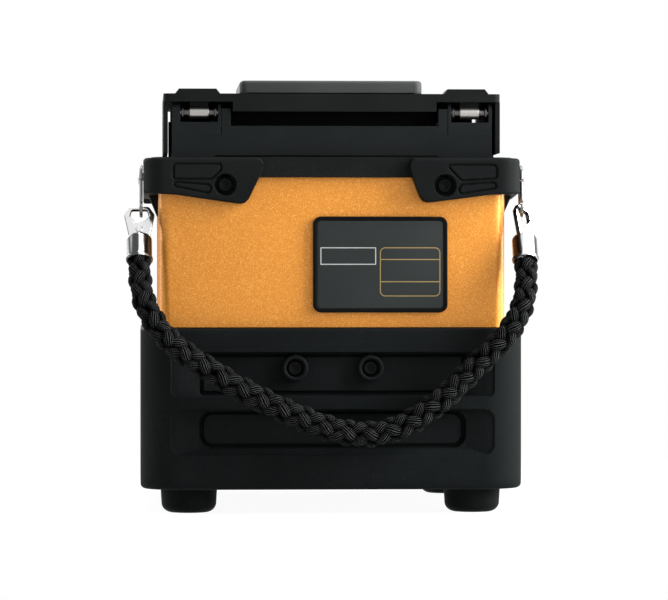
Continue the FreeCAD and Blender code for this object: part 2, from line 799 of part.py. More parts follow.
def wind_cover():
    """Cover over the splicing point: top, side skirts, front wall and rear lip."""
    top = plan_block(cover_half, cover_rear, cover_front, 2.5, cover_under, cover_top)
    lip = box(lip_gap - post_inner(-1), post_inner(1) - lip_gap, cover_rear,
              cover_rear + cover_thickness, cover_under - lip_drop, cover_under)
    cover = top.fuse(lip)
    skirt_rear = cover_rear + 1.5
    for side in (-1, 1):
        x0, x1 = sorted((side * cover_half, side * (cover_half - cover_wall)))
        skirt = box(x0, x1, skirt_rear, cover_front, cover_bottom, cover_under)
        cover = cover.fuse(skirt)
        hump_x = side * (cover_half - hump_inset - hump_width / 2)
        hump_low, hump_high = cover_top - 0.5, cover_top + hump_height
        half, slope = hump_width / 2, hump_height
        hump = outline_y([(hump_x - half, hump_low), (hump_x + half, hump_low),
                          (hump_x + half - slope, hump_high), (hump_x - half + slope, hump_high)],
                         cover_rear, cover_rear + hump_length)
        cover = cover.fuse(hump)
    cover = cover.fuse(box(-deck_half, deck_half, cover_front - cover_wall, cover_front,
                           cover_bottom, cover_under))
    for side in (-1, 1):
        x0, x1 = sorted((side * (cover_half - cover_wall - 1), side * (cover_half + 1)))
        cover = cover.cut(box(x0, x1, splice_y - fiber_slot_width / 2,
                              splice_y + fiber_slot_width / 2, cover_bottom - 1,
                              cover_bottom + fiber_slot_height))
    return cover


def cover_top_plate():
    """Raised grip plate on the cover."""
    half = top_plate_width / 2
    plate = soft_box(-half, half, cover_rear + top_plate_rear, cover_front - top_plate_front,
                     cover_top, cover_top + top_plate_height, 3.0, V(0, 0, 1))
    return round_edges(plate, 1.8, lambda e: abs(e.BoundBox.ZLength) < 1e-6
                       and abs(e.BoundBox.ZMin - cover_top - top_plate_height) < 1e-6)


def groove_block():
    """Ceramic V-groove halves on one bridge across the well."""
    half = groove_block_width / 2
    y0, y1 = splice_y - groove_block_depth / 2, splice_y + groove_block_depth / 2
    bridge = box(-half, half, y0, y1, platform_z, platform_z + 2.0)
    bridge = bridge.cut(rod(3.0, V(0, splice_y, platform_z - 1), V(0, splice_y, platform_z + 3)))
    for side in (-1, 1):
        x0, x1 = sorted((side * groove_gap / 2, side * (half - 5)))
        bridge = bridge.fuse(box(x0, x1, splice_y - 2.2, splice_y + 2.2,
                                 platform_z + 2.0, fiber_z + 0.4))
    groove = outline_x([(splice_y - 0.7, fiber_z + 0.5), (splice_y + 0.7, fiber_z + 0.5),
                        (splice_y, fiber_z - 0.3)], -half - 1, half + 1)
    return bridge.cut(groove)


def electrode(side):
    """Pointed electrode, its tip beside the splice point."""
    tip = splice_y + side * electrode_gap / 2
    shoulder = tip + side * 4
    end = tip + side * electrode_length
    point = tapered(0.15, electrode_radius, V(0, tip, fiber_z), V(0, shoulder, fiber_z))
    shank = rod(electrode_radius, V(0, shoulder, fiber_z), V(0, end, fiber_z))
    return point.fuse(shank)


def electrode_holder(side):
    """Block beside the well that clamps one electrode."""
    near = splice_y + side * (well_length / 2 + 1)
    y0, y1 = sorted((near, near + side * electrode_block * 0.8))
    half = electrode_block / 2 - 1.5
    block = box(-half, half, y0, y1, platform_z, fiber_z + 2.4)
    return block.cut(rod(electrode_radius, V(0, y0 - 1, fiber_z), V(0, y1 + 1, fiber_z)))


def fiber_stage():
    """Right sliding stage with its fibre holder: grooved bed and lid ears."""
    x0, x1 = stage_inner, stage_inner + stage_length
    half = stage_width / 2
    stage = box(x0, x1, splice_y - half, splice_y + half, platform_z, platform_z + stage_height)
    stage = stage.cut(box(x0 - 1, x1 + 1, splice_y - 0.6, splice_y + 0.6,
                          platform_z + stage_height - 0.8, platform_z + stage_height + 1))
    y, z = lid_pivot()
    ear = box(lid_start() - 2.2, lid_start() - move_gap, y - 1.4, y + 1.4,
              platform_z + stage_height - 0.5, z + 1.4)
    far = lid_start() + lid_length
    other = box(far + move_gap, far + 2.2, y - 1.4, y + 1.4,
                platform_z + stage_height - 0.5, z + 1.4)
    stage = stage.fuse(ear).fuse(other)
    return stage.cut(rod(0.8 + pin_gap, V(x0 - 1, y, z), V(x1 + 1, y, z)))


def lid_start():
    """Where a holder lid starts, from the case's middle."""
    return stage_inner + (stage_length - lid_length) / 2


def lid_pivot():
    """The holder lids' pivot, as (y, z)."""
    return splice_y - stage_width / 2 + 1.6, platform_z + stage_height + 1.5


def holder_lid():
    """Right holder lid with its pin stubs."""
    y, z = lid_pivot()
    x0, x1 = lid_start(), lid_start() + lid_length
    low = platform_z + stage_height + move_gap
    lid = box(x0, x1, y, splice_y + stage_width / 2 - 1, low, low + lid_thickness)
    lid = lid.fuse(rod(1.2, V(x0, y, z), V(x1, y, z)))
    return lid.fuse(rod(0.8, V(x0 - 1.8, y, z), V(x1 + 1.8, y, z)))


def clamp_arm():
    """Right fibre clamp arm: reaches from its pivot to a pad over the groove."""
    y, z = clamp_pivot()
    x = clamp_offset
    half = clamp_arm_width / 2
    low = z - clamp_arm_thickness / 2
    arm = box(x - half, x + half, y, splice_y + 2.4, low, low + clamp_arm_thickness)
    arm = arm.fuse(rod(1.6, V(x - half, y, z), V(x + half, y, z)))
    arm = arm.fuse(box(x - half + 1, x + half - 1, splice_y - 1.6, splice_y + 1.6,
                       fiber_z + 0.4 + move_gap, low + 0.5))
    reach = half + move_gap + 1.4
    return arm.fuse(rod(0.8, V(x - reach, y, z), V(x + reach, y, z)))


def microscope(side):
    """Objective tube at 45 degrees under the splice point, hung on a saddle."""
    way = V(0, side * math.sin(math.radians(45)), -math.cos(math.radians(45)))
    centre = V(0, splice_y, fiber_z)
    start = centre + way * microscope_standoff
    end = start + way * microscope_length
    tube = rod(microscope_radius, start, end)
    camera = box(-camera_block / 2, camera_block / 2, -camera_block / 2, camera_block / 2, 0, 6)
    camera.rotate(V(0, 0, 0), V(1, 0, 0), side * 45 + 180)
    camera.translate(end - way * 0.5)
    mount_y = splice_y + side * (well_length / 2 + 4)
    y0, y1 = sorted((mount_y - side * 4, mount_y + side * 4))
    level = platform_z - deck_wall
    saddle = box(-4, 4, y0, y1, level - saddle_height, level)
    return tube.fuse(camera).fuse(saddle)


# ---- Heater -------------------------------------------------------------------------------
def heater_middle():
    """The heater's middle, from the case's middle."""
    return deck_front - heater_from_front


def heater_trough():
    """Long block with a slot that takes the protection sleeve."""
    half, y = heater_length / 2, heater_middle()
    trough = box(-half, half, y - heater_width / 2, y + heater_width / 2,
                 shelf_z, shelf_z + heater_height)
    trough = trough.cut(box(-half - 1, half + 1, y - heater_slot / 2, y + heater_slot / 2,
                            shelf_z + heater_height - heater_slot, shelf_z + heater_height + 1))
    py, pz = heater_pivot()
    ears = []
    for side in (-1, 1):
        x0, x1 = sorted((side * half, side * (half - 3)))
        ear = box(x0, x1, py - 1.8, py + 1.8, shelf_z + heater_height - 0.5, pz)
        ear = ear.fuse(rod(1.8, V(x0, py, pz), V(x1, py, pz)))
        ears.append(ear)
    for ear in ears:
        trough = trough.fuse(ear)
    return trough.cut(rod(0.9 + pin_gap, V(-half - 1, py, pz), V(half + 1, py, pz)))


def heater_pivot():
    """The heater lid's pivot, as (y, z)."""
    return heater_middle() - heater_width / 2 + 2.0, shelf_z + heater_height + 2.2


def heater_lid():
    """Lid over the heater's slot, with pin stubs and a finger tab."""
    y, z = heater_pivot()
    half = heater_length / 2 - 3 - move_gap
    low = shelf_z + heater_height + move_gap
    front = heater_middle() + heater_width / 2
    lid = box(-half, half, y, front, low, low + heater_lid_thickness)
    lid = lid.fuse(rod(1.5, V(-half, y, z), V(half, y, z)))
    lid = lid.fuse(rod(0.9, V(-half - 2.6, y, z), V(half + 2.6, y, z)))
    half = heater_tab_width / 2
    return lid.fuse(box(-half, half, front - 1, front + heater_tab_reach,
                        low + 0.6, low + heater_lid_thickness))


# ---- Screen unit --------------------------------------------------------------------------
def key_places():
    """The keys under the screen: name and x."""
    names = ("power_key", "heat_key", "run_key", "reset_key")
    return [(n, (i - (len(names) - 1) / 2) * key_spacing) for i, n in enumerate(names)]


def lcd_window():
    """The screen opening's low and high edge."""
    return screen_bottom + lcd_low_margin, screen_top - lcd_top_margin


def screen_housing():
    """Screen housing with a window, key holes and pin holes."""
    half = screen_width / 2
    shell = soft_box(-half, half, screen_back, screen_front, screen_bottom, screen_top,
                     4.0, V(0, 1, 0))
    shell = round_edges(shell, 1.5, lambda e: abs(e.BoundBox.YLength) < 1e-6
                        and abs(e.BoundBox.YMin - screen_front) < 1e-6)
    low, high = lcd_window()
    shell = shell.cut(box(-lcd_width / 2, lcd_width / 2, screen_front - glass_thickness
                          - lcd_thickness, screen_front + 1, low, high))
    cavity = box(-half + 4 * screen_wall, half - 4 * screen_wall, screen_back + screen_wall,
                 screen_front - glass_thickness - lcd_thickness - 1.5, low, high)
    shell = shell.cut(cavity)
    for _, x in key_places():
        shell = shell.cut(key_block(x, key_size / 2 + move_gap, screen_front - 4, screen_front + 1))
    for side in (-1, 1):
        shell = shell.cut(rod(screen_pin_radius + pin_gap,
                              V(side * (half - 5), screen_pivot_y, screen_pivot_z),
                              V(side * (half + 1), screen_pivot_y, screen_pivot_z)))
    return shell


def key_block(x, half, y0, y1):
    """A key's block, rounded at its corners."""
    z = screen_bottom + key_margin
    return soft_box(x - half * 1.3, x + half * 1.3, y0, y1, z - half, z + half, 1.4, V(0, 1, 0))


def key(x):
    """One push key, standing a little proud."""
    return key_block(x, key_size / 2, screen_front - 4 + key_travel + 0.2,
                     screen_front + move_gap)


def lcd_panel():
    """Display module behind the glass."""
    low, high = lcd_window()
    y1 = screen_front - glass_thickness
    return box(-lcd_width / 2, lcd_width / 2, y1 - lcd_thickness, y1, low, high)


def touch_glass():
    """Touch glass, flush with the housing."""
    low, high = lcd_window()
    return box(-lcd_width / 2, lcd_width / 2, screen_front - glass_thickness, screen_front,
               low, high)


def screen_pins():
    """Two pivot pins fixed in the rim's front corners."""
    half = screen_width / 2
    pin = rod(screen_pin_radius, V(half - 4, screen_pivot_y, screen_pivot_z),
              V(half + screen_side_gap + 4, screen_pivot_y, screen_pivot_z))
    return group([pin, mirrored(pin)])


# ---- Front panel, battery and inside parts ------------------------------------------------
def front_panel():
    """Panel behind the screen, open in front of the battery bay."""
    half = half_body - body_wall - fit_gap
    panel = box(-half, half, panel_rear, panel_front, base_top, rim_bottom)
    return panel.cut(battery_opening(panel_rear - 1, panel_front + 1))


def battery_bay():
    """Sheet metal tunnel that guides the battery, closed at the rear."""
    half = battery_width / 2 + move_gap
    low, high = battery_bottom - move_gap, battery_bottom + battery_height + move_gap
    rear = battery_rear - move_gap
    tunnel = box(-half - bay_wall, half + bay_wall, rear - bay_wall, panel_rear,
                 base_top, high + bay_wall)
    return tunnel.cut(box(-half, half, rear, panel_rear + 1, low, high))


def battery_pack():
    """Battery pack with a grip recess and a seat for its latch."""
    half = battery_width / 2
    top = battery_bottom + battery_height
    pack = soft_box(-half, half, battery_rear, battery_front, battery_bottom, top,
                    2.0, V(0, 1, 0))
    pack = pack.cut(box(-18, 18, battery_front - 3, battery_front + 1,
                        battery_bottom + 4, battery_bottom + 13))
    z = latch_middle()
    half_latch = latch_width / 2
    return pack.cut(box(-half_latch - move_gap, half_latch + latch_travel + move_gap,
                        battery_front - 2.5, battery_front + 1,
                        z - latch_height / 2 - move_gap, z + latch_height / 2 + move_gap))


def latch_middle():
    """Height of the battery latch."""
    return battery_bottom + battery_height - latch_height / 2 - 3.0


def battery_latch():
    """Ribbed thumb slide on the battery's front."""
    z = latch_middle()
    half = latch_width / 2
    slide = box(-half, half, battery_front - 2.2, battery_front, z - latch_height / 2,
                z + latch_height / 2)
    for i in range(5):
        x = (i - 2) * 2.6
        slide = slide.fuse(box(x - 0.5, x + 0.5, battery_front - 0.5, battery_front + 0.6,
                               z - latch_height / 2 + 0.8, z + latch_height / 2 - 0.8))
    return slide


def chassis():
    """Inner frame: shelf over the battery, side walls and pillars up to the deck."""
    half = half_body - body_wall - fit_gap - 2
    rear, front = body_rear + body_wall + 3, panel_rear - fit_gap
    frame = box(-half, half, rear, front, inner_shelf - shelf_thickness, inner_shelf)
    for side in (-1, 1):
        x0, x1 = sorted((side * half, side * (half - shelf_thickness)))
        frame = frame.fuse(box(x0, x1, rear, front, base_top, inner_shelf))
    for x, y in pillar_places():
        frame = frame.fuse(rod(pillar_radius, V(x, y, inner_shelf - 1), V(x, y, deck_bottom)))
    for x, y in board_pads():
        frame = frame.fuse(rod(2.5, V(x, y, inner_shelf - 1), V(x, y, inner_shelf + board_gap)))
    return frame


def pillar_places():
    """The pillars' places under the deck's walls, as (x, y)."""
    x = deck_half - deck_wall / 2
    return [(-x, deck_rear + pillar_inset), (x, deck_rear + pillar_inset),
            (-x, deck_front - pillar_inset), (x, deck_front - pillar_inset)]


def board_pads():
    """The main board's supports, as (x, y)."""
    return [(-40, -45), (40, -45), (-40, 35), (40, 35)]


def main_board():
    """Main circuit board with its larger parts."""
    low = inner_shelf + board_gap
    top = low + board_thickness
    half = main_board_width / 2
    board = box(-half, half, main_board_rear, main_board_rear + main_board_length, low, top)
    for x, y, w, d, h in ((-12, -8, 22, 22, 2.2), (24, 8, 12, 14, 1.6), (-30, -34, 10, 12, 6),
                          (30, -34, 14, 10, 5), (0, 30, 40, 8, 4), (-32, 14, 12, 12, 3)):
        board = board.fuse(box(x - w / 2, x + w / 2, y - d / 2, y + d / 2, top, top + h))
    return board


def arc_board():
    """Arc power board, upright against the rear pillars, with its transformer."""
    x = deck_half - deck_wall / 2
    y0 = deck_rear + pillar_inset + pillar_radius
    face = y0 + board_thickness
    low = inner_shelf + board_gap + arc_board_lift
    half = transformer_size / 2
    middle = low + arc_board_height / 2
    board = box(-x, x, y0, face, low, low + arc_board_height)
    board = board.fuse(box(-board_part_offset - half, -board_part_offset + half, face,
                           face + transformer_depth, middle - half, middle + half))
    half = coil_size / 2
    return board.fuse(box(board_part_offset - half, board_part_offset + half, face,
                          face + coil_depth, middle - half, middle + half))


def fan_frame():
    """Square fan housing against the left wall."""
    x0 = -half_body + body_wall
    y, z, half = fan_from_middle, inner_shelf + fan_height, fan_size / 2
    frame = box(x0, x0 + fan_depth, y - half, y + half, z - half, z + half)
    frame = frame.cut(rod(half - 1.5, V(x0 - 1, y, z), V(x0 + fan_depth - 1.2, y, z)))
    ring = rod(half - 1.5, V(x0 + fan_depth - 1.5, y, z), V(x0 + fan_depth + 1, y, z))
    for a in (0, 90):
        ring = ring.cut(turned(box(x0, x0 + 20, y - half, y + half, z - 1.5, z + 1.5), a,
                               V(0, y, z)))
    ring = ring.cut(rod(7, V(x0, y, z), V(x0 + 20, y, z)))
    frame = frame.cut(ring)
    return frame.fuse(rod(1.0, V(x0 + 2, y, z), V(x0 + fan_depth, y, z)))


def fan_rotor():
    """Fan hub and blades, turning on the housing's spindle."""
    x0 = -half_body + body_wall + 1.0
    x1 = x0 + fan_depth - 2.6
    y, z = fan_from_middle, inner_shelf + fan_height
    tip = fan_size / 2 - 1.5 - 0.6
    rotor = rod(7.5, V(x0, y, z), V(x1, y, z))
    for i in range(7):
        blade = prism([(x0 + 0.5, y - 1.6, z + 6), (x0 + 1.7, y - 1.6, z + 6),
                       (x1 - 0.5, y + 3.0, z + 6), (x1 - 1.7, y + 3.0, z + 6)],
                      (0, 0, tip - 6 - 0.5))
        rotor = rotor.fuse(turned(blade, i * 360 / 7, V(0, y, z)))
    return rotor.cut(rod(1.0 + pin_gap, V(x0 - 2, y, z), V(x1 + 2, y, z)))


def port_panel():
    """Recessed port panel in the right wall with a USB slot and the jack's seat."""
    z = inner_shelf + port_above_shelf
    y0, y1 = port_middle() - port_width / 2, port_middle() + port_width / 2
    inside = half_body - body_wall
    panel = box(inside - port_thickness, inside, y0 - 2, y1 + 2,
                z - port_height / 2 - 2, z + port_height / 2 + 2)
    panel = panel.fuse(box(inside - 0.5, half_body - 1.0, y0 + fit_gap, y1 - fit_gap,
                           z - port_height / 2 + fit_gap, z + port_height / 2 - fit_gap))
    jack_y, _ = jack_place()
    back = inside - port_thickness - 1
    panel = panel.cut(rod(jack_radius, V(back, jack_y, z), V(half_body + 1, jack_y, z)))
    usb_y = port_middle() + port_width / 4
    return panel.cut(box(back, half_body + 1, usb_y - usb_width / 2, usb_y + usb_width / 2,
                         z - usb_height / 2, z + usb_height / 2))


def port_middle():
    """The port panel's middle, from the case's middle."""
    return deck_front - port_from_front


def jack_place():
    """The power jack's place on the right wall, as (y, z)."""
    return port_middle() - port_width / 4, inner_shelf + port_above_shelf


def power_jack():
    """Barrel socket for the mains adapter."""
    y, z = jack_place()
    out = half_body - 0.6
    jack = rod(jack_radius, V(out - jack_length, y, z), V(out, y, z))
    jack = jack.cut(rod(jack_bore, V(out - jack_length + 1.5, y, z), V(out + 1, y, z)))
    return jack.fuse(rod(1.0, V(out - jack_length + 1, y, z), V(out - 1.5, y, z)))


# ---- Carry strap --------------------------------------------------------------------------
def strap_stud():
    """Right shoulder stud through the guard into the rim; the link turns on it."""
    shank = rod(stud_radius, V(half_body - 3, stud_y, stud_z), V(link_out + fit_gap,
                                                               stud_y, stud_z))
    return shank.fuse(rod(stud_head, V(link_out + fit_gap, stud_y, stud_z),
                          V(link_out + fit_gap + 0.6, stud_y, stud_z)))


def link_slot():
    """Half the inner width of a strap link."""
    return link_width / 2 - link_wire


def strap_link():
    """Right snap link: a flat loop on the stud, open on one side for its gate."""
    half, inner = link_width / 2, link_slot()
    x0, x1 = link_in, link_out
    top, low = stud_z, stud_z - link_drop
    loop = box(x0, x1, stud_y - half, stud_y + half, low, top)
    for z in (top, low):
        loop = loop.fuse(rod(half, V(x0, stud_y, z), V(x1, stud_y, z)))
    hole = box(x0 - 1, x1 + 1, stud_y - inner, stud_y + inner, low, top)
    for z in (top, low):
        hole = hole.fuse(rod(inner, V(x0 - 1, stud_y, z), V(x1 + 1, stud_y, z)))
    loop = loop.cut(hole)
    loop = loop.cut(box(x0 - 1, x1 + 1, stud_y - half - 1, stud_y - inner + 0.01,
                        gate_low() - move_gap, gate_high() + move_gap))
    return turned(loop, -link_angle, V(0, stud_y, stud_z))


def gate_low():
    """Lower end of the link's gate."""
    return stud_z - link_drop + 0.8


def gate_high():
    """Upper end of the link's gate."""
    return stud_z - 2.4


def link_gate():
    """Right sprung gate that closes the link."""
    y, z = gate_pivot()
    r = link_wire / 2
    gate = box(link_in, link_out, y - r, y + r, z, gate_high())
    gate = gate.fuse(rod(r, V(link_in, y, z), V(link_out, y, z)))
    return turned(gate, -link_angle, V(0, stud_y, stud_z))


def gate_pivot():
    """The gate's pivot in its round lower end, before the link is turned, as (y, z)."""
    return stud_y - link_width / 2 + link_wire / 2, gate_low() + link_wire / 2


def cap_pivot():
    """Where a cap's eye hangs in its link, as (y, z)."""
    a = math.radians(link_angle)
    drop = link_drop + link_slot() - eye_seat
    return stud_y - drop * math.sin(a), stud_z - drop * math.cos(a)


def cord_cap():
    """Right crimped cap with its trapezoid eye, turned towards the rear."""
    y, z = cap_pivot()
    t = cap_eye_thickness / 2
    wide, narrow = cap_eye_wide / 2, cap_eye_narrow / 2
    top, low = z + 1.6, z + 1.6 - cap_eye_length
    shape = [(cap_x - wide * 0.62, top), (cap_x + wide * 0.62, top), (cap_x + wide, top - 3.4),
             (cap_x + narrow, low), (cap_x - narrow, low), (cap_x - wide, top - 3.4)]
    eye = outline_y(shape, y - t, y + t)
    eye = eye.cut(outline_y([(cap_x - wide * 0.5, top - 1.3), (cap_x + wide * 0.5, top - 1.3),
                             (cap_x + wide * 0.62, top - 4.2), (cap_x + 1.6, top - 6.4),
                             (cap_x - 1.6, top - 6.4), (cap_x - wide * 0.62, top - 4.2)],
                            y - t - 1, y + t + 1))
    dome = rod(cap_radius, V(cap_x, y, low - cap_length), V(cap_x, y, low + 0.4))
    dome = round_edges(dome, 1.6, lambda e: abs(e.BoundBox.ZMin - low - 0.4) < 1e-6
                       and abs(e.BoundBox.ZLength) < 1e-6)
    return turned(eye.fuse(dome), -cap_angle, V(0, y, z))


def rope_start():
    """The right cap's mouth, where the rope goes in."""
    y, z = cap_pivot()
    a = math.radians(cap_angle)
    drop = cap_eye_length - 1.6 + cap_length
    return V(cap_x, y - drop * math.sin(a), z - drop * math.cos(a))


def strap_rope():
    """Braided rope: straight runs joined by tangent arcs along its route."""
    mouth = rope_start()
    a = math.radians(cap_angle)
    lead = mouth + V(0, -math.sin(a), -math.cos(a)) * rope_lead
    points = [V(-mouth.x, mouth.y, mouth.z), V(-lead.x, lead.y, lead.z)]
    points += [V(*p) for p in ROPE_ROUTE]
    points += [lead, mouth]
    edges, last = [], points[0]
    for before, here, after in zip(points, points[1:], points[2:]):
        back, on = (before - here), (after - here)
        short = min(back.Length, on.Length)
        back.normalize()
        on.normalize()
        half_turn = (math.pi - back.getAngle(on)) / 2
        radius = 0.45 * short / math.tan(half_turn)
        start, end = here + back * 0.45 * short, here + on * 0.45 * short
        middle_way = (back + on).normalize()
        middle = here + middle_way * (radius / math.cos(half_turn) - radius)
        edges += [Part.LineSegment(last, start).toShape(), Part.Arc(start, middle, end).toShape()]
        last = end
    edges.append(Part.LineSegment(last, points[-1]).toShape())
    path = Part.Wire(edges)
    ring = Part.Wire(Part.Circle(points[0], points[1] - points[0], rope_diameter / 2).toShape())
    return path.makePipeShell([ring], True, False)


# ---- Everything, written one file to a node -----------------------------------------------
NODES["body_sleeve"] = body_sleeve()
NODES["bumper_case"] = bumper_case()
NODES["base_plate"] = base_plate()
NODES["tripod_insert"] = tripod_insert()
for place, (fx, fy) in zip(("rear_left", "rear_right", "front_left", "front_right"),
                           foot_places()):
    NODES["foot_" + place] = foot(fx, fy)
NODES["case_screws"] = case_screws()
NODES["rim_frame"] = rim_frame()
NODES["guard_rear_right"] = rear_guard(*guard_screw_place(1))
left_x, left_z = guard_screw_place(-1)
NODES["guard_rear_left"] = mirrored(rear_guard(-left_x, left_z))
save_pair("guard_front", front_guard())
NODES["label_plate"] = label_plate()
NODES["upper_deck"] = upper_deck()
NODES["hinge_brackets"] = group([hinge_bracket(1), mirrored(hinge_bracket(-1))])
NODES["hinge_pins"] = group([hinge_pin(1), mirrored(hinge_pin(-1))])
NODES["hinge_sleeves"] = group([hinge_sleeve(1), mirrored(hinge_sleeve(-1))])
NODES["wind_cover"] = wind_cover()
NODES["cover_top_plate"] = cover_top_plate()
NODES["groove_block"] = groove_block()
NODES["electrodes"] = group([electrode(-1), electrode(1)])
NODES["electrode_holders"] = group([electrode_holder(-1), electrode_holder(1)])
NODES["microscopes"] = group([microscope(-1), microscope(1)])
save_pair("fiber_stage", fiber_stage())
save_pair("holder_lid", holder_lid())
save_pair("clamp_arm", clamp_arm())
NODES["heater_trough"] = heater_trough()
NODES["heater_lid"] = heater_lid()
NODES["screen_housing"] = screen_housing()
NODES["screen_pins"] = screen_pins()
NODES["lcd_panel"] = lcd_panel()
NODES["touch_glass"] = touch_glass()
for key_name, key_x in key_places():
    NODES[key_name] = key(key_x)
NODES["front_panel"] = front_panel()
NODES["battery_bay"] = battery_bay()
NODES["battery_pack"] = battery_pack()
NODES["battery_latch"] = battery_latch()
NODES["chassis"] = chassis()
NODES["main_board"] = main_board()
NODES["arc_board"] = arc_board()
NODES["fan_frame"] = fan_frame()
NODES["fan_rotor"] = fan_rotor()
NODES["port_panel"] = port_panel()
NODES["power_jack"] = power_jack()
NODES["strap_studs"] = group([strap_stud(), mirrored(strap_stud())])
save_pair("strap_link", strap_link())
save_pair("link_gate", link_gate())
save_pair("cord_cap", cord_cap())
NODES["strap_rope"] = strap_rope()

os.makedirs("parts", exist_ok=True)
for node_name, shape in NODES.items():
    shape.exportStep("parts/%s.step" % node_name)
print(len(NODES), "nodes")
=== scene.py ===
import json
import bpy
import bmesh
import numpy as np
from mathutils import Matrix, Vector

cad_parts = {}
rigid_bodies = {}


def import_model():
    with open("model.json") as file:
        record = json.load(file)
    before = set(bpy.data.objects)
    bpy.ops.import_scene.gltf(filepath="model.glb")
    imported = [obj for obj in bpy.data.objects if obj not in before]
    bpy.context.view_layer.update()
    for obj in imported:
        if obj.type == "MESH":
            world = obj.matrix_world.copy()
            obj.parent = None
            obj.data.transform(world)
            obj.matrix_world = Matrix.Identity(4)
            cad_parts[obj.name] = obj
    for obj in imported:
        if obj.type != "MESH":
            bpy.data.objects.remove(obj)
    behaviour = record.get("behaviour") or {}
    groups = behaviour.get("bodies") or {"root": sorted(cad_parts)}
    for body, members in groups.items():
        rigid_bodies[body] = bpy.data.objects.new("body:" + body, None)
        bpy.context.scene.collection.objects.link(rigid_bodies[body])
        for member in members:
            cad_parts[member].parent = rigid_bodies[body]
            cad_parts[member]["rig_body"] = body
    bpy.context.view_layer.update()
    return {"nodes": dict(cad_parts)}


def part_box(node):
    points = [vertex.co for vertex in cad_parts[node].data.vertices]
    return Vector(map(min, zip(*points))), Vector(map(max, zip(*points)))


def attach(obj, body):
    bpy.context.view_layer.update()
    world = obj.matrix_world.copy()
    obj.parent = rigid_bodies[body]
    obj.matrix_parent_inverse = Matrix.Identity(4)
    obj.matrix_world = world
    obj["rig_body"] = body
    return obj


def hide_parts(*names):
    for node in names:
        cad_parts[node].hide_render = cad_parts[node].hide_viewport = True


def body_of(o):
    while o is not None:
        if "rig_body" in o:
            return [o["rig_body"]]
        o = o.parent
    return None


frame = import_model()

MM = 0.001

# ---- Camera, studio and light ---------------------------------------------------------------
# The splicer stands on a pale table in a white studio and is seen from behind, a little from
# its left, through a long lens. A tall soft box at its right is the main light, and weaker ones
# fill the left, the top, the back and the rims of both sides.
scene = bpy.context.scene
scene.view_settings.view_transform = "Standard"


def new_object(name, data):
    """A new object in the scene that shows the data."""
    thing = bpy.data.objects.new(name, data)
    scene.collection.objects.link(thing)
    return thing


def aimed(thing, place, target):
    """Puts a camera or lamp at place and turns it towards target."""
    thing.location = place
    thing.rotation_mode = "QUATERNION"
    thing.rotation_quaternion = (Vector(target) - Vector(place)).to_track_quat("-Z", "Y")


camera_data = bpy.data.cameras.new("studio_camera")
camera_data.sensor_width, camera_data.lens = 36.0, 195.0
camera_data.clip_start, camera_data.clip_end = 0.05, 50.0
scene.camera = new_object("studio_camera", camera_data)
aimed(scene.camera, (-0.0700, -1.4200, 0.0870), (0.0003, -0.0790, 0.0797))

# Each lamp's name, place, target, width and height in metres, and power in watts.
for name, place, target, size, watts in (
        ("key_box", (0.62, -0.30, 0.38), (0.0, -0.06, 0.08), (0.28, 0.6), 10.3),
        ("right_box", (0.34, -0.46, 0.30), (0.02, -0.06, 0.08), (0.4, 0.4), 0.85),
        ("fill_box", (-0.95, -0.85, 0.45), (0.0, 0.0, 0.08), (0.7, 0.7), 0.9),
        ("right_rim", (0.75, 0.16, 0.30), (0.06, -0.04, 0.08), (0.25, 0.6), 5.0),
        ("left_rim", (-0.75, 0.12, 0.32), (-0.06, -0.04, 0.08), (0.25, 0.6), 2.6),
        ("top_box", (0.15, 0.10, 1.15), (0.0, 0.0, 0.1), (0.8, 0.8), 7.0),
        ("back_box", (-0.45, 1.05, 0.65), (0.0, 0.0, 0.08), (0.8, 0.8), 9.0)):
    lamp = bpy.data.lights.new(name, "AREA")
    lamp.shape, lamp.energy = "RECTANGLE", watts
    lamp.size, lamp.size_y = size
    holder = new_object(name, lamp)
    holder.visible_camera = False
    aimed(holder, place, target)


def node_tree(owner):
    """The node tree of a material or world, emptied."""
    owner.use_nodes = True
    owner.node_tree.nodes.clear()
    return owner.node_tree


def put(tree, kind, settings=None, **inputs):
    """The outputs of a new shader node with these settings. Its inputs come by name or by _ and
    number: a value, or a socket to join."""
    node = tree.nodes.new("ShaderNode" + kind)
    for key, value in (settings or {}).items():
        setattr(node, key, value)
    for key, value in inputs.items():
        socket = node.inputs[int(key[1:]) if key[0] == "_" else key.replace("_", " ")]
        if isinstance(value, bpy.types.NodeSocket):
            tree.links.new(value, socket)
        else:
            socket.default_value = value
    return node.outputs


def calc(tree, operation, first, second=0.5, third=0.5):
    """One step of arithmetic on sockets or numbers."""
    return put(tree, "Math", {"operation": operation}, _0=first, _1=second,
               _2=third)[0]


def seen_directly(tree):
    """1 for rays that come from the camera, a mirror or clear glass, and 0 for the rest."""
    path = put(tree, "LightPath")
    return calc(tree, "MAXIMUM", calc(tree, "MAXIMUM", path["Is Camera Ray"],
                                      path["Is Glossy Ray"]), path["Is Transmission Ray"])


world = bpy.data.worlds.new("white_studio")
scene.world = world
tree = node_tree(world)
white = put(tree, "Background", Color=(1, 1, 1, 1), Strength=1.0)
ambient = put(tree, "Background", Color=(1, 1, 1, 1), Strength=0.11)
either = put(tree, "MixShader", _0=seen_directly(tree),
             _1=ambient[0], _2=white[0])
put(tree, "OutputWorld", Surface=either[0])

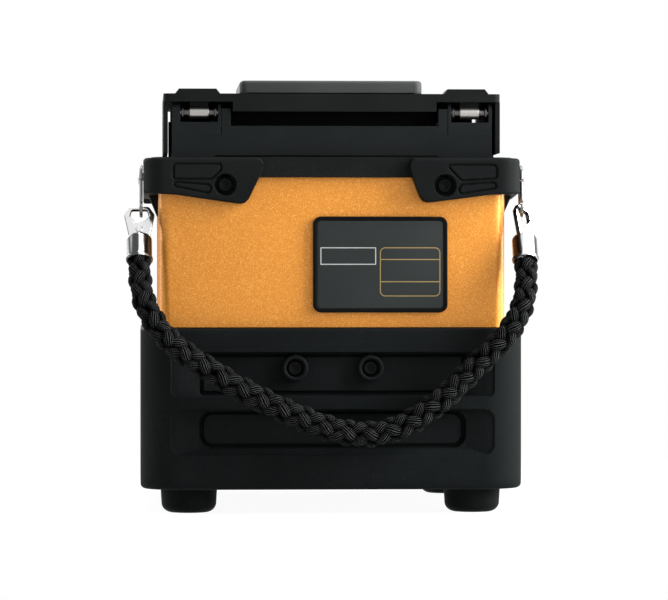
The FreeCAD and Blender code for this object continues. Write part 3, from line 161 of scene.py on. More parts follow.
# The table top: a pale matt disc that keeps the splicer's shadow, and fades into the studio
# between two distances from its middle, in metres.
table_radius, table_sides = 1.6, 96
fade_start, fade_end = 0.12, 0.42
angles = np.linspace(0, 2 * np.pi, table_sides, endpoint=False)
table_mesh = bpy.data.meshes.new("table_top")
ring = np.stack([np.cos(angles), np.sin(angles), 0 * angles], 1) * table_radius
table_mesh.from_pydata(ring.tolist(), [], [list(range(table_sides))])
table = new_object("table_top", table_mesh)
table_material = bpy.data.materials.new("pale_table")
tree = node_tree(table_material)
place = put(tree, "TexCoord")
far = put(tree, "VectorMath", {"operation": "LENGTH"}, _0=place["Object"])
fade = put(tree, "MapRange", {"interpolation_type": "SMOOTHSTEP"},
           Value=far["Value"], From_Min=fade_start, From_Max=fade_end)
matt = put(tree, "BsdfDiffuse", Color=(0.12, 0.12, 0.12, 1))
glow = put(tree, "Emission", Color=(1, 1, 1, 1), Strength=0.945)
near_part = put(tree, "AddShader", _0=matt[0], _1=glow[0])
studio = put(tree, "Emission", Color=(1, 1, 1, 1), Strength=1.0)
shown = put(tree, "MixShader", _0=fade[0], _1=near_part[0],
            _2=studio[0])
bounced = put(tree, "BsdfDiffuse", Color=(0.55, 0.55, 0.55, 1))
surface = put(tree, "MixShader", _0=seen_directly(tree), _1=bounced[0],
              _2=shown[0])
put(tree, "OutputMaterial", Surface=surface[0])
table_mesh.materials.append(table_material)

# ---- Feet -----------------------------------------------------------------------------------
# Four round moulded rubber feet carry the splicer. Each is screwed up through the bumper's
# floor into the aluminium base plate, with its screw head deep inside the foot.


def box_of(node):
    """The lowest and highest corners of a CAD node, in mm."""
    return [np.array(corner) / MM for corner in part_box(node)]


def unit(rows):
    """Each row divided by its length."""
    return rows / np.linalg.norm(rows, axis=1, keepdims=True)


def rounded(corners, radii, steps):
    """A closed outline with arcs for corners: each arc touches its two sides, and its points
    divide the turn between the two touching directions evenly."""
    p = np.asarray(corners, float)
    r = np.broadcast_to(np.asarray(radii, float), len(p))[:, None]
    back, ahead = unit(np.roll(p, 1, 0) - p), unit(np.roll(p, -1, 0) - p)
    half = np.arccos(np.clip((back * ahead).sum(1), -1, 1))[:, None] / 2
    centre = p + unit(back + ahead) * r / np.sin(half)
    start = p + back * r / np.tan(half) - centre
    end = p + ahead * r / np.tan(half) - centre
    turn = (np.pi - 2 * half)[:, :, None]
    s = np.linspace(0, 1, steps + 1)[None, :, None]
    arc = (np.sin((1 - s) * turn) * start[:, None] + np.sin(s * turn) * end[:, None]) / np.sin(turn)
    return (centre[:, None] + arc).reshape(-1, 2)


def rectangle(x0, y0, x1, y1, radius, steps):
    """A rectangle with rounded corners, from its lowest corner to its highest."""
    return rounded([(x0, y0), (x1, y0), (x1, y1), (x0, y1)], radius, steps)


def at_level(outline, level):
    """A flat outline as a ring of points at one level."""
    return np.c_[outline, np.full(len(outline), level)]


def inset(outline, amount):
    """The outline moved inwards: each point goes along the bisector of its two sides, and far
    enough for both sides to move by the amount."""
    side = np.roll(outline, -1, 0) - outline
    side /= np.maximum(np.linalg.norm(side, axis=1, keepdims=True), 1e-9)
    inward = np.stack([-side[:, 1], side[:, 0]], 1)
    both = inward + np.roll(inward, 1, 0)
    both /= np.maximum((both ** 2).sum(1, keepdims=True), 0.05) / 2
    return outline + both * amount


def slab(outline, low, high, soft_low=0.3, soft_high=0.3, steps=4):
    """Rings of a plate of that outline between two levels. Each edge is a quarter round: the
    outline goes in by 1 - sin of an angle while it rises by 1 - cos of it."""
    turn = np.linspace(0, np.pi / 2, steps + 1)
    ins = np.r_[soft_low * (1 - np.sin(turn)), soft_high * (1 - np.sin(turn[::-1]))]
    ups = np.r_[low + soft_low * (1 - np.cos(turn)), high - soft_high * (1 - np.cos(turn[::-1]))]
    flat = np.stack([inset(outline, amount) for amount in ins])
    return np.concatenate([flat, np.broadcast_to(ups[:, None, None], flat.shape[:2] + (1,))], 2)


def turned(profile, steps):
    """Rings of a turned form: each (radius, height) of the profile goes once round the axis."""
    profile = np.asarray(profile, float)
    a = np.linspace(0, 2 * np.pi, steps, endpoint=False)
    r, h = profile[:, :1], profile[:, 1:]
    return np.stack([r * np.cos(a), r * np.sin(a), h + 0 * a], 2)


def form(rings, looped=False):
    """Points and faces of rings joined each to the next, filled at both ends or joined last to
    first. Rings that go round the axis they climb along give faces that point outwards."""
    count, around = rings.shape[:2]
    at = np.arange(count * around).reshape(count, around)
    low, high = (at, np.roll(at, -1, 0)) if looped else (at[:-1], at[1:])
    faces = np.stack([low, np.roll(low, -1, 1), np.roll(high, -1, 1), high], -1)
    faces = faces.reshape(-1, 4).tolist()
    if not looped:
        faces += [at[0, ::-1].tolist(), at[-1].tolist()]
    return rings.reshape(-1, 3), faces


def together(*forms):
    """Several forms as one: their points one after another, and their faces counted on."""
    starts = np.cumsum([0] + [len(points) for points, faces in forms])
    faces = [[int(start) + i for i in face] for start, (points, some) in zip(starts, forms)
             for face in some]
    return np.concatenate([points for points, some in forms]), faces


def seated(shape, origin, across, up):
    """The form with its own x along across, y along up and z along their cross product."""
    points, faces = shape
    u, v = np.asarray(across, float), np.asarray(up, float)
    u, v = u / np.linalg.norm(u), v / np.linalg.norm(v)
    return points @ np.stack([u, v, np.cross(u, v)]) + np.asarray(origin, float), faces


def mirrored(shape):
    """The form on the splicer's other side: x changes sign and each face turns round."""
    points, faces = shape
    return points * (-1, 1, 1), [face[::-1] for face in faces]


def placed(name, mesh, material, body, nodes):
    """A new smooth object of the mesh with its material, that rides on its body and stands for its
    CAD nodes."""
    mesh.polygons.foreach_set("use_smooth", np.ones(len(mesh.polygons), bool))
    mesh.materials.append(material)
    thing = new_object(name, mesh)
    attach(thing, body)
    if nodes:
        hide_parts(*nodes)
    return thing


def merged(mesh, flat=None):
    """Joins the mesh's points that coincide, and dissolves edges flatter than flat degrees."""
    work = bmesh.new()
    work.from_mesh(mesh)
    bmesh.ops.remove_doubles(work, verts=work.verts, dist=2e-6)
    if flat:
        bmesh.ops.dissolve_limit(work, angle_limit=np.radians(flat), verts=work.verts,
                                 edges=work.edges)
    work.to_mesh(mesh)
    work.free()


def piece(name, shape, material, body, nodes=(), crease=35):
    """A new object of the form, smooth but for edges sharper than crease degrees."""
    points, faces = shape
    mesh = bpy.data.meshes.new(name)
    mesh.from_pydata((np.asarray(points) * MM).tolist(), [], faces)
    merged(mesh)
    thing = placed(name, mesh, material, body, nodes)
    mesh.set_sharp_from_angle(angle=np.radians(crease))
    return thing


def new_group(name, inputs, outputs):
    """A shader node group with named float inputs, a vector named Place, and its outputs."""
    group = bpy.data.node_groups.new(name, "ShaderNodeTree")
    group.interface.new_socket("Place", in_out="INPUT", socket_type="NodeSocketVector")
    for word, value in inputs.items():
        socket = group.interface.new_socket(word, in_out="INPUT", socket_type="NodeSocketFloat")
        socket.default_value = value
    for word in outputs:
        group.interface.new_socket(word, in_out="OUTPUT", socket_type="NodeSocketFloat")
    return group, group.nodes.new("NodeGroupInput").outputs, group.nodes.new("NodeGroupOutput")


# Moulded grain: the fine spark-eroded texture of a mould, with slow changes of tone over it
# where the plastic flowed. Height is the texture, Shade the tone and Gloss the polish.
moulded_grain, given, gives = new_group(
    "moulded_grain", {"Grain": 2200.0, "Cloud": 28.0}, ["Height", "Shade", "Gloss"])
grains = put(moulded_grain, "TexNoise", Vector=given["Place"], Scale=given["Grain"],
             Detail=3.0, Roughness=0.6)
pits = put(moulded_grain, "TexVoronoi", Vector=given["Place"], Scale=given["Grain"])
cloud = put(moulded_grain, "TexNoise", Vector=given["Place"], Scale=given["Cloud"],
            Detail=4.0, Roughness=0.55)
height = calc(moulded_grain, "MULTIPLY_ADD", pits["Distance"], 0.6, grains[0])
shade = calc(moulded_grain, "MULTIPLY_ADD", grains[0], 0.45,
             calc(moulded_grain, "MULTIPLY", cloud[0], 0.55))
for socket, word in ((height, "Height"), (shade, "Shade"), (cloud[0], "Gloss")):
    moulded_grain.links.new(socket, gives.inputs[word])

# Handling marks: sparse fine scratches and rubbed spots, as a mask.
handling_marks, given, gives = new_group(
    "handling_marks", {"Scratch": 160.0, "Amount": 0.5}, ["Mask"])
bent = put(handling_marks, "TexNoise", Vector=given["Place"], Scale=given["Scratch"],
           Detail=2.0, Distortion=2.5)
line = calc(handling_marks, "COMPARE", bent[0], 0.5, 0.004)
spots = put(handling_marks, "TexNoise", Vector=given["Place"], Scale=45.0, Detail=5.0)
rare = calc(handling_marks, "GREATER_THAN", spots[0], 0.62)
both = calc(handling_marks, "MULTIPLY", calc(handling_marks, "MULTIPLY", line, rare),
            given["Amount"])
handling_marks.links.new(both, gives.inputs["Mask"])


def from_group(tree, group, vector, **values):
    """The outputs of a shared group placed in a material with this material's values."""
    node = tree.nodes.new("ShaderNodeGroup")
    node.node_tree = group
    tree.links.new(vector, node.inputs["Place"])
    for word, value in values.items():
        node.inputs[word].default_value = value
    return node.outputs


def between(tree, socket, low, high, to_low, to_high):
    """A socket's range low to high carried to the range to_low to to_high."""
    return put(tree, "MapRange", Value=socket, From_Min=low, From_Max=high,
               To_Min=to_low, To_Max=to_high)[0]


def tone(tree, share, dark, light):
    """A colour that goes from dark to light, each a colour or a socket, as share goes from 0
    to 1."""
    ends = [end if isinstance(end, bpy.types.NodeSocket) else end + (1,) for end in (dark, light)]
    return put(tree, "Mix", {"data_type": "RGBA"}, _0=share, _6=ends[0],
               _7=ends[1])[2]


def new_material(name):
    """A new material, its empty node tree, and the place that its textures follow."""
    material = bpy.data.materials.new(name)
    tree = node_tree(material)
    return material, tree, put(tree, "TexCoord")["Object"]


def principled(tree, **inputs):
    """Ends a material's tree: a Principled surface with these inputs, joined to the output."""
    shader = put(tree, "BsdfPrincipled", **inputs)
    put(tree, "OutputMaterial", Surface=shader[0])


def moulded(name, dark, light, rough=(0.5, 0.62), grain=2200.0, bump=0.25, specular=0.12,
            metal=0.0, marks=0.25, mark_colour=(0.05, 0.05, 0.05)):
    """A moulded, cast, painted or machined finish: grain for its bump, slow clouds for its tone
    and gloss, and a few handling marks in a colour of their own."""
    material, tree, place = new_material(name)
    got = from_group(tree, moulded_grain, place, Grain=grain)
    worn = from_group(tree, handling_marks, place, Amount=marks)["Mask"]
    clean = tone(tree, between(tree, got["Shade"], 0.35, 0.65, 0, 1), dark, light)
    relief = put(tree, "Bump", Strength=bump, Distance=0.00012, Height=got["Height"])
    principled(tree, Base_Color=tone(tree, worn, clean, mark_colour), Metallic=metal,
               Roughness=between(tree, got["Gloss"], 0.3, 0.7, *rough),
               Normal=relief[0], Specular_IOR_Level=specular)
    return material


rubber = moulded("moulded_rubber", (0.0050, 0.0061, 0.0063), (0.0092, 0.0110, 0.0112),
                 rough=(0.52, 0.66), grain=1700.0, bump=0.35, specular=0.03)

foot_low, foot_high = box_of("foot_rear_right")
foot_radius = (foot_high[0] - foot_low[0]) / 2
foot_places = {"rear_left": (-1, -1), "rear_right": (1, -1), "front_left": (-1, 1),
               "front_right": (1, 1)}
foot_axis = (foot_high[:2] + foot_low[:2]) / 2 * (1, -1)
bore_radius, bore_depth, pad_height = 3.0, 4.6, 9.2
for word, (side, end) in foot_places.items():
    # Down the bore's wall, over the deeply rounded sole and up the tapered side.
    sole = np.linspace(0, np.pi / 2, 10)
    profile = np.r_[[(0.2, bore_depth), (bore_radius, bore_depth), (bore_radius + 0.05, 0.5),
                     (bore_radius + 0.4, 0.12)],
                    np.stack([foot_radius - 4.4 + 4.0 * np.sin(sole),
                              3.6 - 3.6 * np.cos(sole)], 1),
                    [(foot_radius - 0.3, 5.4), (foot_radius - 0.12, 8.3),
                     (foot_radius, pad_height), (0.2, pad_height)]]
    points, faces = form(turned(profile, 56))
    points = points + (side * foot_axis[0], end * foot_axis[1], 0)
    piece("foot_pad_" + word, (points, faces), rubber, "case", ["foot_" + word],
          crease=50)

# ---- Rubber bumper --------------------------------------------------------------------------
# A thick moulded rubber tub round the lower half of the case. Its rear and side walls each have
# two recesses with scooped ends, and in each recess a flat panel with a groove along its border.
tub_low, tub_high = box_of("bumper_case")
tub_corner, tub_round, tub_wall = 15.0, 2.0, 6.55


def spaced(low, high, close_low, close_high, coarse=2.4, fine=0.4):
    """Stations from low to high, close together where their distance from the middle is between
    the two close marks, and coarse elsewhere."""
    wide = np.arange(low, high, coarse)
    near = np.arange(close_low, close_high, fine)
    both = np.unique(np.round(np.r_[wide, near, -near, low, high], 3))
    both = both[(both >= low) & (both <= high)]
    return both[np.r_[True, np.diff(both) > fine * 0.6]]


def smooth(value, low, high):
    """0 below low, 1 above high, and 3t^2 - 2t^3 of the share between."""
    t = np.clip((value - low) / (high - low), 0, 1)
    return t * t * (3 - 2 * t)


def inside(along, level, end, low, high, radius):
    """How far a point is inside a rectangle with round corners, in mm: the radius less the
    distance from the corner's middle, or the distance to the nearest side."""
    x = np.abs(along) - (end - radius)
    z = np.abs(level - (low + high) / 2) - ((high - low) / 2 - radius)
    return radius - np.hypot(np.clip(x, 0, None), np.clip(z, 0, None)) - np.clip(
        np.maximum(x, z), None, 0)


def wall_depth(along, level, half):
    """How far a bumper wall is pushed in, in mm. A scoop deepens evenly from its outer end to
    its panel, and at the lower edge over a shelf; the panel is deeper again, and its border is
    a groove. For each recess: its lower and upper edge and corner radius, the shelf's height,
    and the panel's lower edge, corner radius and extra depth."""
    outer, inner = half - 11.2, half - 21.8
    groove_wide = groove_deep = 1.5
    depth = 0
    for low, high, corner, shelf, panel, panel_corner, flat in (
            (43.6, 60.3, 2.6, 0.4, 44.0, 1.2, 0.6), (21.9, 39.0, 4.4, 2.4, 24.4, 5.2, 1.3)):
        ramp = np.clip((outer - np.abs(along)) / (outer - inner), 0, 1)
        ramp = 0.6 + 2.6 * np.minimum(ramp, np.clip((level - low) / shelf, 0, 1))
        depth = depth + ramp * smooth(inside(along, level, outer, low, high, corner), 0, 0.45)
        far = inside(along, level, inner, panel, high - 0.1, panel_corner)
        edge = smooth(far, 0, 0.4)
        depth = depth + flat * edge
        depth = depth + groove_deep * edge * (
            1 - smooth(far, groove_wide - 0.3, groove_wide + 0.25))
    return depth


def reach(turn, side, radius):
    """How far it is from a corner's middle, in the direction turn, to two walls that stand side
    away and meet in a corner of that radius: side over the larger of sine and cosine, or where
    the direction meets the small corner's circle."""
    d = np.stack([np.sin(turn), np.cos(turn)], -1)
    flat = side / d.max(-1)
    back = side - radius
    ahead = back * d.sum(-1)
    curved = ahead + np.sqrt(np.clip(ahead ** 2 - 2 * back ** 2 + radius ** 2, 0, None))
    return np.where(flat * d.min(-1) > back, curved, flat)


straight_x, straight_y = tub_high[0] - tub_corner, tub_high[1] - tub_corner
run_x = spaced(-straight_x, straight_x, 43.0, 57.0)
run_y = spaced(-straight_y, straight_y, 49.0, 62.6)
run_front = np.linspace(-straight_x, straight_x, 24)
bend = np.linspace(0, np.pi / 2, 44)[1:-1]


def tub_plan(side, radius):
    """The tub's outline at walls that stand side out from the corners' middles."""
    arc = reach(bend, side, radius)[:, None] * np.stack([np.sin(bend), np.cos(bend)], 1)
    x, y = straight_x, straight_y
    return np.concatenate([
        np.stack([run_x, np.full(len(run_x), -y - side)], 1), (x, -y) + arc * (1, -1),
        np.stack([np.full(len(run_y), x + side), run_y], 1), (x, y) + arc[::-1],
        np.stack([run_front[::-1], np.full(len(run_front), y + side)], 1),
        (-x, y) + arc * (-1, 1),
        np.stack([np.full(len(run_y), -x - side), run_y[::-1]], 1), (-x, -y) - arc[::-1]])


turn = np.linspace(0, np.pi / 2, 7)
tub_top = tub_high[2] + 0.7
levels = spaced(tub_low[2] + tub_round, tub_top - 1.0, 21.2, 61.0, 1.8)
levels = np.r_[tub_low[2] + tub_round * (1 - np.cos(turn[:-1])), levels,
               tub_top - 1.0 + np.sin(turn[1:])]
ins = np.r_[tub_round * (1 - np.sin(turn[:-1])), 0 * levels[6:-6], 1.0 - np.cos(turn[1:])]
outside = np.stack([tub_plan(tub_corner - amount, tub_corner - amount) for amount in ins])
z = np.broadcast_to(levels[:, None], outside.shape[:2])
x, y = outside[..., 0], outside[..., 1]
at_rear, at_side = y < -straight_y - 10, np.abs(x) > straight_x + 10
x, y = (x - np.sign(x) * wall_depth(y, z, tub_high[1] - 6.0) * at_side,
        y + wall_depth(x, z, tub_high[0]) * at_rear)
inner_walls = [(tub_wall - 0.6, tub_top), (tub_wall, tub_top - 0.6), (tub_wall, 12.0)]
inner = np.stack([at_level(tub_plan(tub_corner - amount, 4.4), level)
                  for amount, level in inner_walls])
tub = form(np.concatenate([np.stack([x, y, z], 2), inner]))
bumper = piece("bumper_shell", tub, rubber, "case", ["bumper_case"], crease=38)


def cut_out(thing, *blocks):
    """Takes boxes, each given by its lowest and highest corner in mm, out of a closed piece."""
    for low, high in blocks:
        low, high = np.array(low) * MM, np.array(high) * MM
        mesh = bpy.data.meshes.new("cutter")
        square = low[:2] + (high - low)[:2] * np.array([(0, 0), (1, 0), (1, 1), (0, 1)])
        points, faces = form(np.stack([at_level(square, level) for level in (low[2], high[2])]))
        mesh.from_pydata(points.tolist(), [], faces)
        cutter = new_object("cutter", mesh)
        tool = thing.modifiers.new("cut", "BOOLEAN")
        tool.operation, tool.solver, tool.object = "DIFFERENCE", "EXACT", cutter
        settled = bpy.data.meshes.new_from_object(
            thing.evaluated_get(bpy.context.evaluated_depsgraph_get()))
        thing.modifiers.clear()
        thing.data = settled
        bpy.data.objects.remove(cutter)


# The front wall is open at its top for the screen, and lower down for the battery.
cut_out(bumper, ((-58.6, 70.0, 60.4), (58.6, 82.0, 75.0)),
        ((-42.3, 70.0, 18.2), (42.3, 82.0, 46.8)))

# The ring bosses of the two rear bumper screws: rounded rims round a bore, each with a thin rib
# that runs up to the band above.
boss_x, boss_z, boss_depth = 14.05, 54.4, 3.5
boss_turn = np.linspace(0, np.pi, 9)
boss_profile = np.r_[[(4.9, -1.0), (4.9, 2.2)],
                     np.stack([4.1 + 0.8 * np.cos(boss_turn), 2.2 + 0.9 * np.sin(boss_turn)], 1),
                     [(3.3, -0.9), (0.1, -0.9)]]
rib = slab(rounded([(-0.55, 3.8), (0.55, 3.8), (0.45, 6.6), (-0.45, 6.6)], 0.2, 3), -1.0, 2.2,
           0.1, 0.5)
boss = together(form(turned(boss_profile, 44)), form(rib))


def facing_rear(shape, place):
    """The form at a place, with its own z pointing to the rear."""
    return seated(shape, place, (1, 0, 0), (0, 0, 1))


for word, side in (("left", -1), ("right", 1)):
    shape = facing_rear(boss, (side * boss_x, tub_low[1] + boss_depth, boss_z))
    piece("bumper_boss_" + word, shape, rubber, "case", crease=50)

# ---- Socket head screws ---------------------------------------------------------------------
# Black oxide M3 steel screws with a knurled rim and a six-sided socket, in the ring bosses, the
# rear guards and the feet.
blackened = moulded("blackened_steel", (0.0032, 0.0034, 0.0036), (0.0075, 0.0079, 0.0082),
                    rough=(0.32, 0.5), grain=2600.0, bump=0.12, specular=0.07, metal=0.15)


def screw_form(radius):
    """A turned head with a bevelled rim, and a flat face with a six-sided pit cut into it: rings
    of 48 points whose radius inside the pit is that of a hexagon, cos 30 over cos of the angle
    from the middle of its side."""
    height = 1.8
    a = np.linspace(0, 2 * np.pi, 48, endpoint=False)
    six = np.cos(np.pi / 6) / np.cos((a + np.pi / 6) % (np.pi / 3) - np.pi / 6)
    rings = [(radius + 0 * a, -2.0), (radius + 0.04 * np.cos(24 * a), 0.1),
             (radius + 0.04 * np.cos(24 * a), height - 0.35), (radius - 0.3 + 0 * a, height),
             (1.72 * six, height), (1.55 * six, height - 0.12), (1.5 * six, height - 1.1),
             (0.02 + 0 * a, height - 1.45)]
    return form(np.stack([at_level(np.stack([r * np.cos(a), r * np.sin(a)], 1), h)
                          for r, h in rings]))


guard_screws = {"left": (-40.0, 122.5), "right": (41.8, 122.3)}
guard_seat, boss_seat = -74.0, -74.7
heads = []
for word, side in (("left", -1), ("right", 1)):
    x, z = guard_screws[word]
    heads.append(facing_rear(screw_form(2.6), (x, guard_seat, z)))
    heads.append(facing_rear(screw_form(2.6), (side * boss_x, boss_seat, boss_z)))
for side, end in foot_places.values():
    place = (side * foot_axis[0], end * foot_axis[1], bore_depth)
    heads.append(seated(screw_form(2.75), place, (1, 0, 0), (0, -1, 0)))
piece("screw_heads", together(*heads), blackened, "case", ["case_screws"],
      crease=30)

# ---- Metal body -----------------------------------------------------------------------------
# A drawn aluminium sleeve with narrow round corners, painted metallic gold. Its paint holds fine
# flakes that catch the light one by one under a satin clear coat.
gold, tree, place = new_material("gold_flake_paint")
got = from_group(tree, moulded_grain, place, Grain=1500.0, Cloud=20.0)
flake = put(tree, "TexVoronoi", Vector=place, Scale=3000.0)
chance = put(tree, "SeparateColor", Color=flake["Color"])
bright = calc(tree, "MULTIPLY", calc(tree, "POWER", chance[0], 3.0), 0.6)
base = tone(tree, between(tree, got["Shade"], 0.3, 0.7, 0, 1), (0.59, 0.208, 0.016),
            (0.70, 0.252, 0.022))
relief = put(tree, "Bump", Strength=0.26, Distance=0.00009,
             Height=calc(tree, "ADD", got["Height"], chance[1]))
# The paint loses its mirror part where it is seen at a grazing angle.
graze = put(tree, "LayerWeight", Blend=0.5)["Facing"]
frontal = between(tree, graze, 0.55, 0.95, 1, 0)
principled(tree, Base_Color=tone(tree, bright, base, (0.92, 0.46, 0.105)),
           Metallic=calc(tree, "MULTIPLY", between(tree, chance[2], 0, 1, 0.15, 0.5), frontal),
           Roughness=between(tree, got["Gloss"], 0.3, 0.7, 0.38, 0.45),
           Normal=relief[0], Specular_IOR_Level=calc(tree, "MULTIPLY", frontal, 0.35),
           Coat_Weight=calc(tree, "MULTIPLY", frontal, 0.22), Coat_Roughness=0.16)


def eased(node, material, width):
    """A copy of a CAD node with its triangles merged and its sharp edges slightly rounded. It
    takes the node's place and rides on its body."""
    source = frame["nodes"][node]
    mesh = source.data.copy()
    mesh.name = node + "_finished"
    merged(mesh, flat=0.6)
    mesh.materials.clear()
    thing = placed(mesh.name, mesh, material, body_of(source)[0], [node])
    mesh.set_sharp_from_angle(angle=np.radians(30))
    tool = thing.modifiers.new("soft_edges", "BEVEL")
    tool.width, tool.segments, tool.limit_method = width * MM, 2, "ANGLE"
    tool.angle_limit, tool.harden_normals = np.radians(35), True


eased("body_sleeve", gold, 0.5)

# ---- Rim frame and corner guards ------------------------------------------------------------
# A moulded plastic frame round the top of the sleeve, and thick rubber guards on its corners.
# The rear guards have a lobe for their screw, and a fine groove round two raised fields.
rim_plastic = moulded("rim_plastic", (0.0070, 0.0081, 0.0080), (0.0120, 0.0136, 0.0134),
                      rough=(0.5, 0.65), grain=900.0, bump=0.55, specular=0.035)
guard_rubber = moulded("guard_rubber", (0.0062, 0.0073, 0.0074), (0.0108, 0.0123, 0.0123),
                       rough=(0.46, 0.58), grain=1900.0, bump=0.3, specular=0.035)
eased("rim_frame", rim_plastic, 0.6)
guard_side, rim_side, sleeve_side = 14.0, 11.0, 8.4
rim_base, guard_top = 125.4, 132.6
left_marks = [rounded([(-59.3, 130.2), (-59.1, 124.6), (-45.2, 124.6), (-41.4, 128.2),
                       (-41.8, 130.2)], [1.0, 0.7, 1.6, 1.2, 0.7], 4),
              rounded([(-58.9, 123.5), (-58.9, 121.9), (-46.4, 119.4), (-45.1, 120.9),
                       (-46.2, 122.6)], [0.5, 0.6, 1.1, 0.6, 1.0], 4)]
right_marks = [rounded([(60.9, 130.0), (60.9, 124.9), (47.9, 124.1), (42.2, 130.0)],
                       [1.4, 1.3, 1.2, 0.8], 4),
               rounded([(60.6, 123.5), (60.6, 121.2), (47.5, 119.2), (46.8, 120.9),
                        (47.9, 122.6)], [1.1, 1.1, 0.7, 0.8, 0.8], 4)]


def off_line(x, z, corners):
    """Distance of each point from a closed line through the corners: for each of its sides the
    point's share along it, held to 0 to 1, gives the nearest spot, and the least one counts."""
    least = np.full(x.shape, 1e9)
    for (ax, az), (bx, bz) in zip(corners, np.roll(corners, -1, 0)):
        dx, dz = bx - ax, bz - az
        share = np.clip(((x - ax) * dx + (z - az) * dz) / (dx * dx + dz * dz), 0, 1)
        least = np.minimum(least, np.hypot(x - ax - share * dx, z - az - share * dz))
    return least


def guard(name, side, end, low_line, high_line, start, stop, screw=None, lines=()):
    """A corner guard as a wall that follows the rounded corner: its developed length runs along
    the end wall, round the corner and along the side. Lines give its lower and upper edge over
    that length. The section at each station is a closed loop: rounded lower edge, outer face,
    rounded upper edge, and down along the rim and the sleeve behind. A rear guard has a well
    for its screw, a groove along its lines, and a root on the side wall."""
    middle_x, middle_y = 56.4, 63.9 if end < 0 else 63.6
    bent = guard_side * np.pi / 2
    station, end_step, level_step = 0.32, 0.06, 0.3
    fine = np.arange(start, stop, station)
    u = np.unique(np.round(
        np.r_[start, start + end_step, fine[1:], stop - end_step, stop], 3))
    low, high = (np.interp(u, *np.array(line).T)[:, None] for line in (low_line, high_line))
    turn = np.clip(u / guard_side, 0, np.pi / 2)
    out = np.stack([np.sin(turn), np.cos(turn)], 1)
    along = np.stack([np.minimum(u, 0), -np.maximum(u - bent, 0)], 1)
    outer, rim, sleeve = (
        along + out * reach(turn, distance, radius)[:, None]
        for distance, radius in ((guard_side, 8.0), (rim_side, 7.1), (sleeve_side, 4.5)))
    a = np.linspace(0, np.pi / 2, 6)
    foot, brow = 0.9, 1.3
    faces_z = np.arange(110.0, guard_top, level_step)[None]
    loop_z = np.concatenate([
        low + foot * (1 - np.cos(a)),
        np.clip(faces_z, low + foot, np.maximum(high - brow, low + foot)),
        high - brow + brow * np.sin(a)], 1)
    loop_z = np.clip(loop_z, low, high)
    sunk = np.concatenate([foot * (1 - np.sin(a)), np.zeros(faces_z.shape[1]),
                           brow * (1 - np.cos(a))])
    depth = np.zeros(loop_z.shape)
    if screw:
        seen_x = side * (middle_x + along[:, :1] + out[:, :1] * guard_side)
        flat = smooth(-u, -9.0, -5.0)[:, None]
        marks = np.minimum(*[off_line(seen_x, loop_z, line) for line in lines])
        groove = 0.8 * (1 - smooth(marks, 0.15, 0.5)) * flat
        far = np.hypot(seen_x - screw[0], loop_z - screw[1])
        well = 3.6 * (1 - smooth(far, 3.75, 4.15)) * flat
        depth = np.maximum(groove, well)
    face = outer[:, None] - out[:, None] * (sunk[None] + depth)[..., None]
    ledge = np.maximum(rim_base, low)
    back = [(rim, high), (rim, ledge), (sleeve, ledge), (sleeve, low)]
    plan = np.concatenate([face] + [line[:, None] for line, level in back], 1)
    z = np.concatenate([loop_z] + [np.minimum(level, high) for line, level in back], 1)
    rings = np.stack([side * (middle_x + plan[..., 0]), end * (middle_y + plan[..., 1]), z], 2)
    shapes = [form(rings if side * end > 0 else rings[::-1])]
    # The tapered root hangs lower: thick at the guard, thin at its lower edge.
    if end < 0:
        root_end, side_wall = 111.0, 64.7
        root = slab(rounded([(-61.9, 122.0), (-56.6, root_end), (-45.2, root_end),
                             (-39.9, 122.0)], [0.5, 2.5, 2.5, 0.5], 4), 0, 1.0, 0.05, 0.25)
        y, level, up = root[..., 0], root[..., 1], root[..., 2]
        tail = form(np.stack([side_wall + up * (0.5 + 4.0 * (level - root_end) / 10.0), y,
                              level], 2))
        shapes.append(tail if side > 0 else mirrored(tail))
    piece("guard_%s_moulded" % name, together(*shapes), guard_rubber, "case", ["guard_" + name],
          crease=42)


root_low = [(1.1, 118.7), (15.7, 119.5), (42.0, 117.9), (45.0, 119.9), (49.0, 129.4)]
left_low = [(-30.5, 129.4), (-30.2, 127.9), (-28.95, 124.95), (-25.3, 117.4), (-23.9, 115.9),
            (-22.4, 115.5), (-19.8, 115.7)] + root_low
right_low = [(-27.6, 129.4), (-27.4, 127.9), (-26.6, 124.95), (-23.9, 118.0), (-22.6, 116.4),
             (-21.0, 116.0), (-18.4, 116.2)] + root_low
front_low = [(3.0, 120.8), (18.0, 120.8), (43.0, 117.9), (46.0, 119.9), (50.0, 129.4)]
front_high = [(3.0, guard_top), (48.0, guard_top), (50.0, 130.4)]
for word, side, low_line, marks in (("left", -1, left_low, left_marks),
                                    ("right", 1, right_low, right_marks)):
    start = low_line[0][0]
    high_line = [(start, 130.4), (start + 0.2, 131.4), (start + 0.8, 132.2),
                 (start + 1.9, guard_top), (47.0, guard_top), (48.4, 131.9), (49.0, 130.4)]
    guard("rear_" + word, side, -1, low_line, high_line, start, 49.0, guard_screws[word], marks)
    guard("front_" + word, side, 1, front_low, front_high, 3.0, 50.0)

# ---- Rating plate ---------------------------------------------------------------------------
# A thick dark plastic plate with a polished edge, printed with plain frames: a white empty box
# and a gold rounded frame with two rules.
label_face = moulded("label_film", (0.0145, 0.0178, 0.0175), (0.0200, 0.0240, 0.0235),
                     rough=(0.44, 0.52), grain=3000.0, bump=0.08, specular=0.2)
white_print = moulded("white_print", (0.42, 0.44, 0.43), (0.52, 0.54, 0.53), rough=(0.45, 0.55),
                      grain=3000.0, bump=0.05, specular=0.3)
gold_print = moulded("gold_print", (0.26, 0.19, 0.07), (0.34, 0.25, 0.10), rough=(0.4, 0.5),
                     grain=3000.0, bump=0.05, specular=0.2)
plate_low, plate_high = box_of("label_plate")
plate_middle = (plate_low + plate_high) / 2
print_back, print_face = 1.63, 1.70


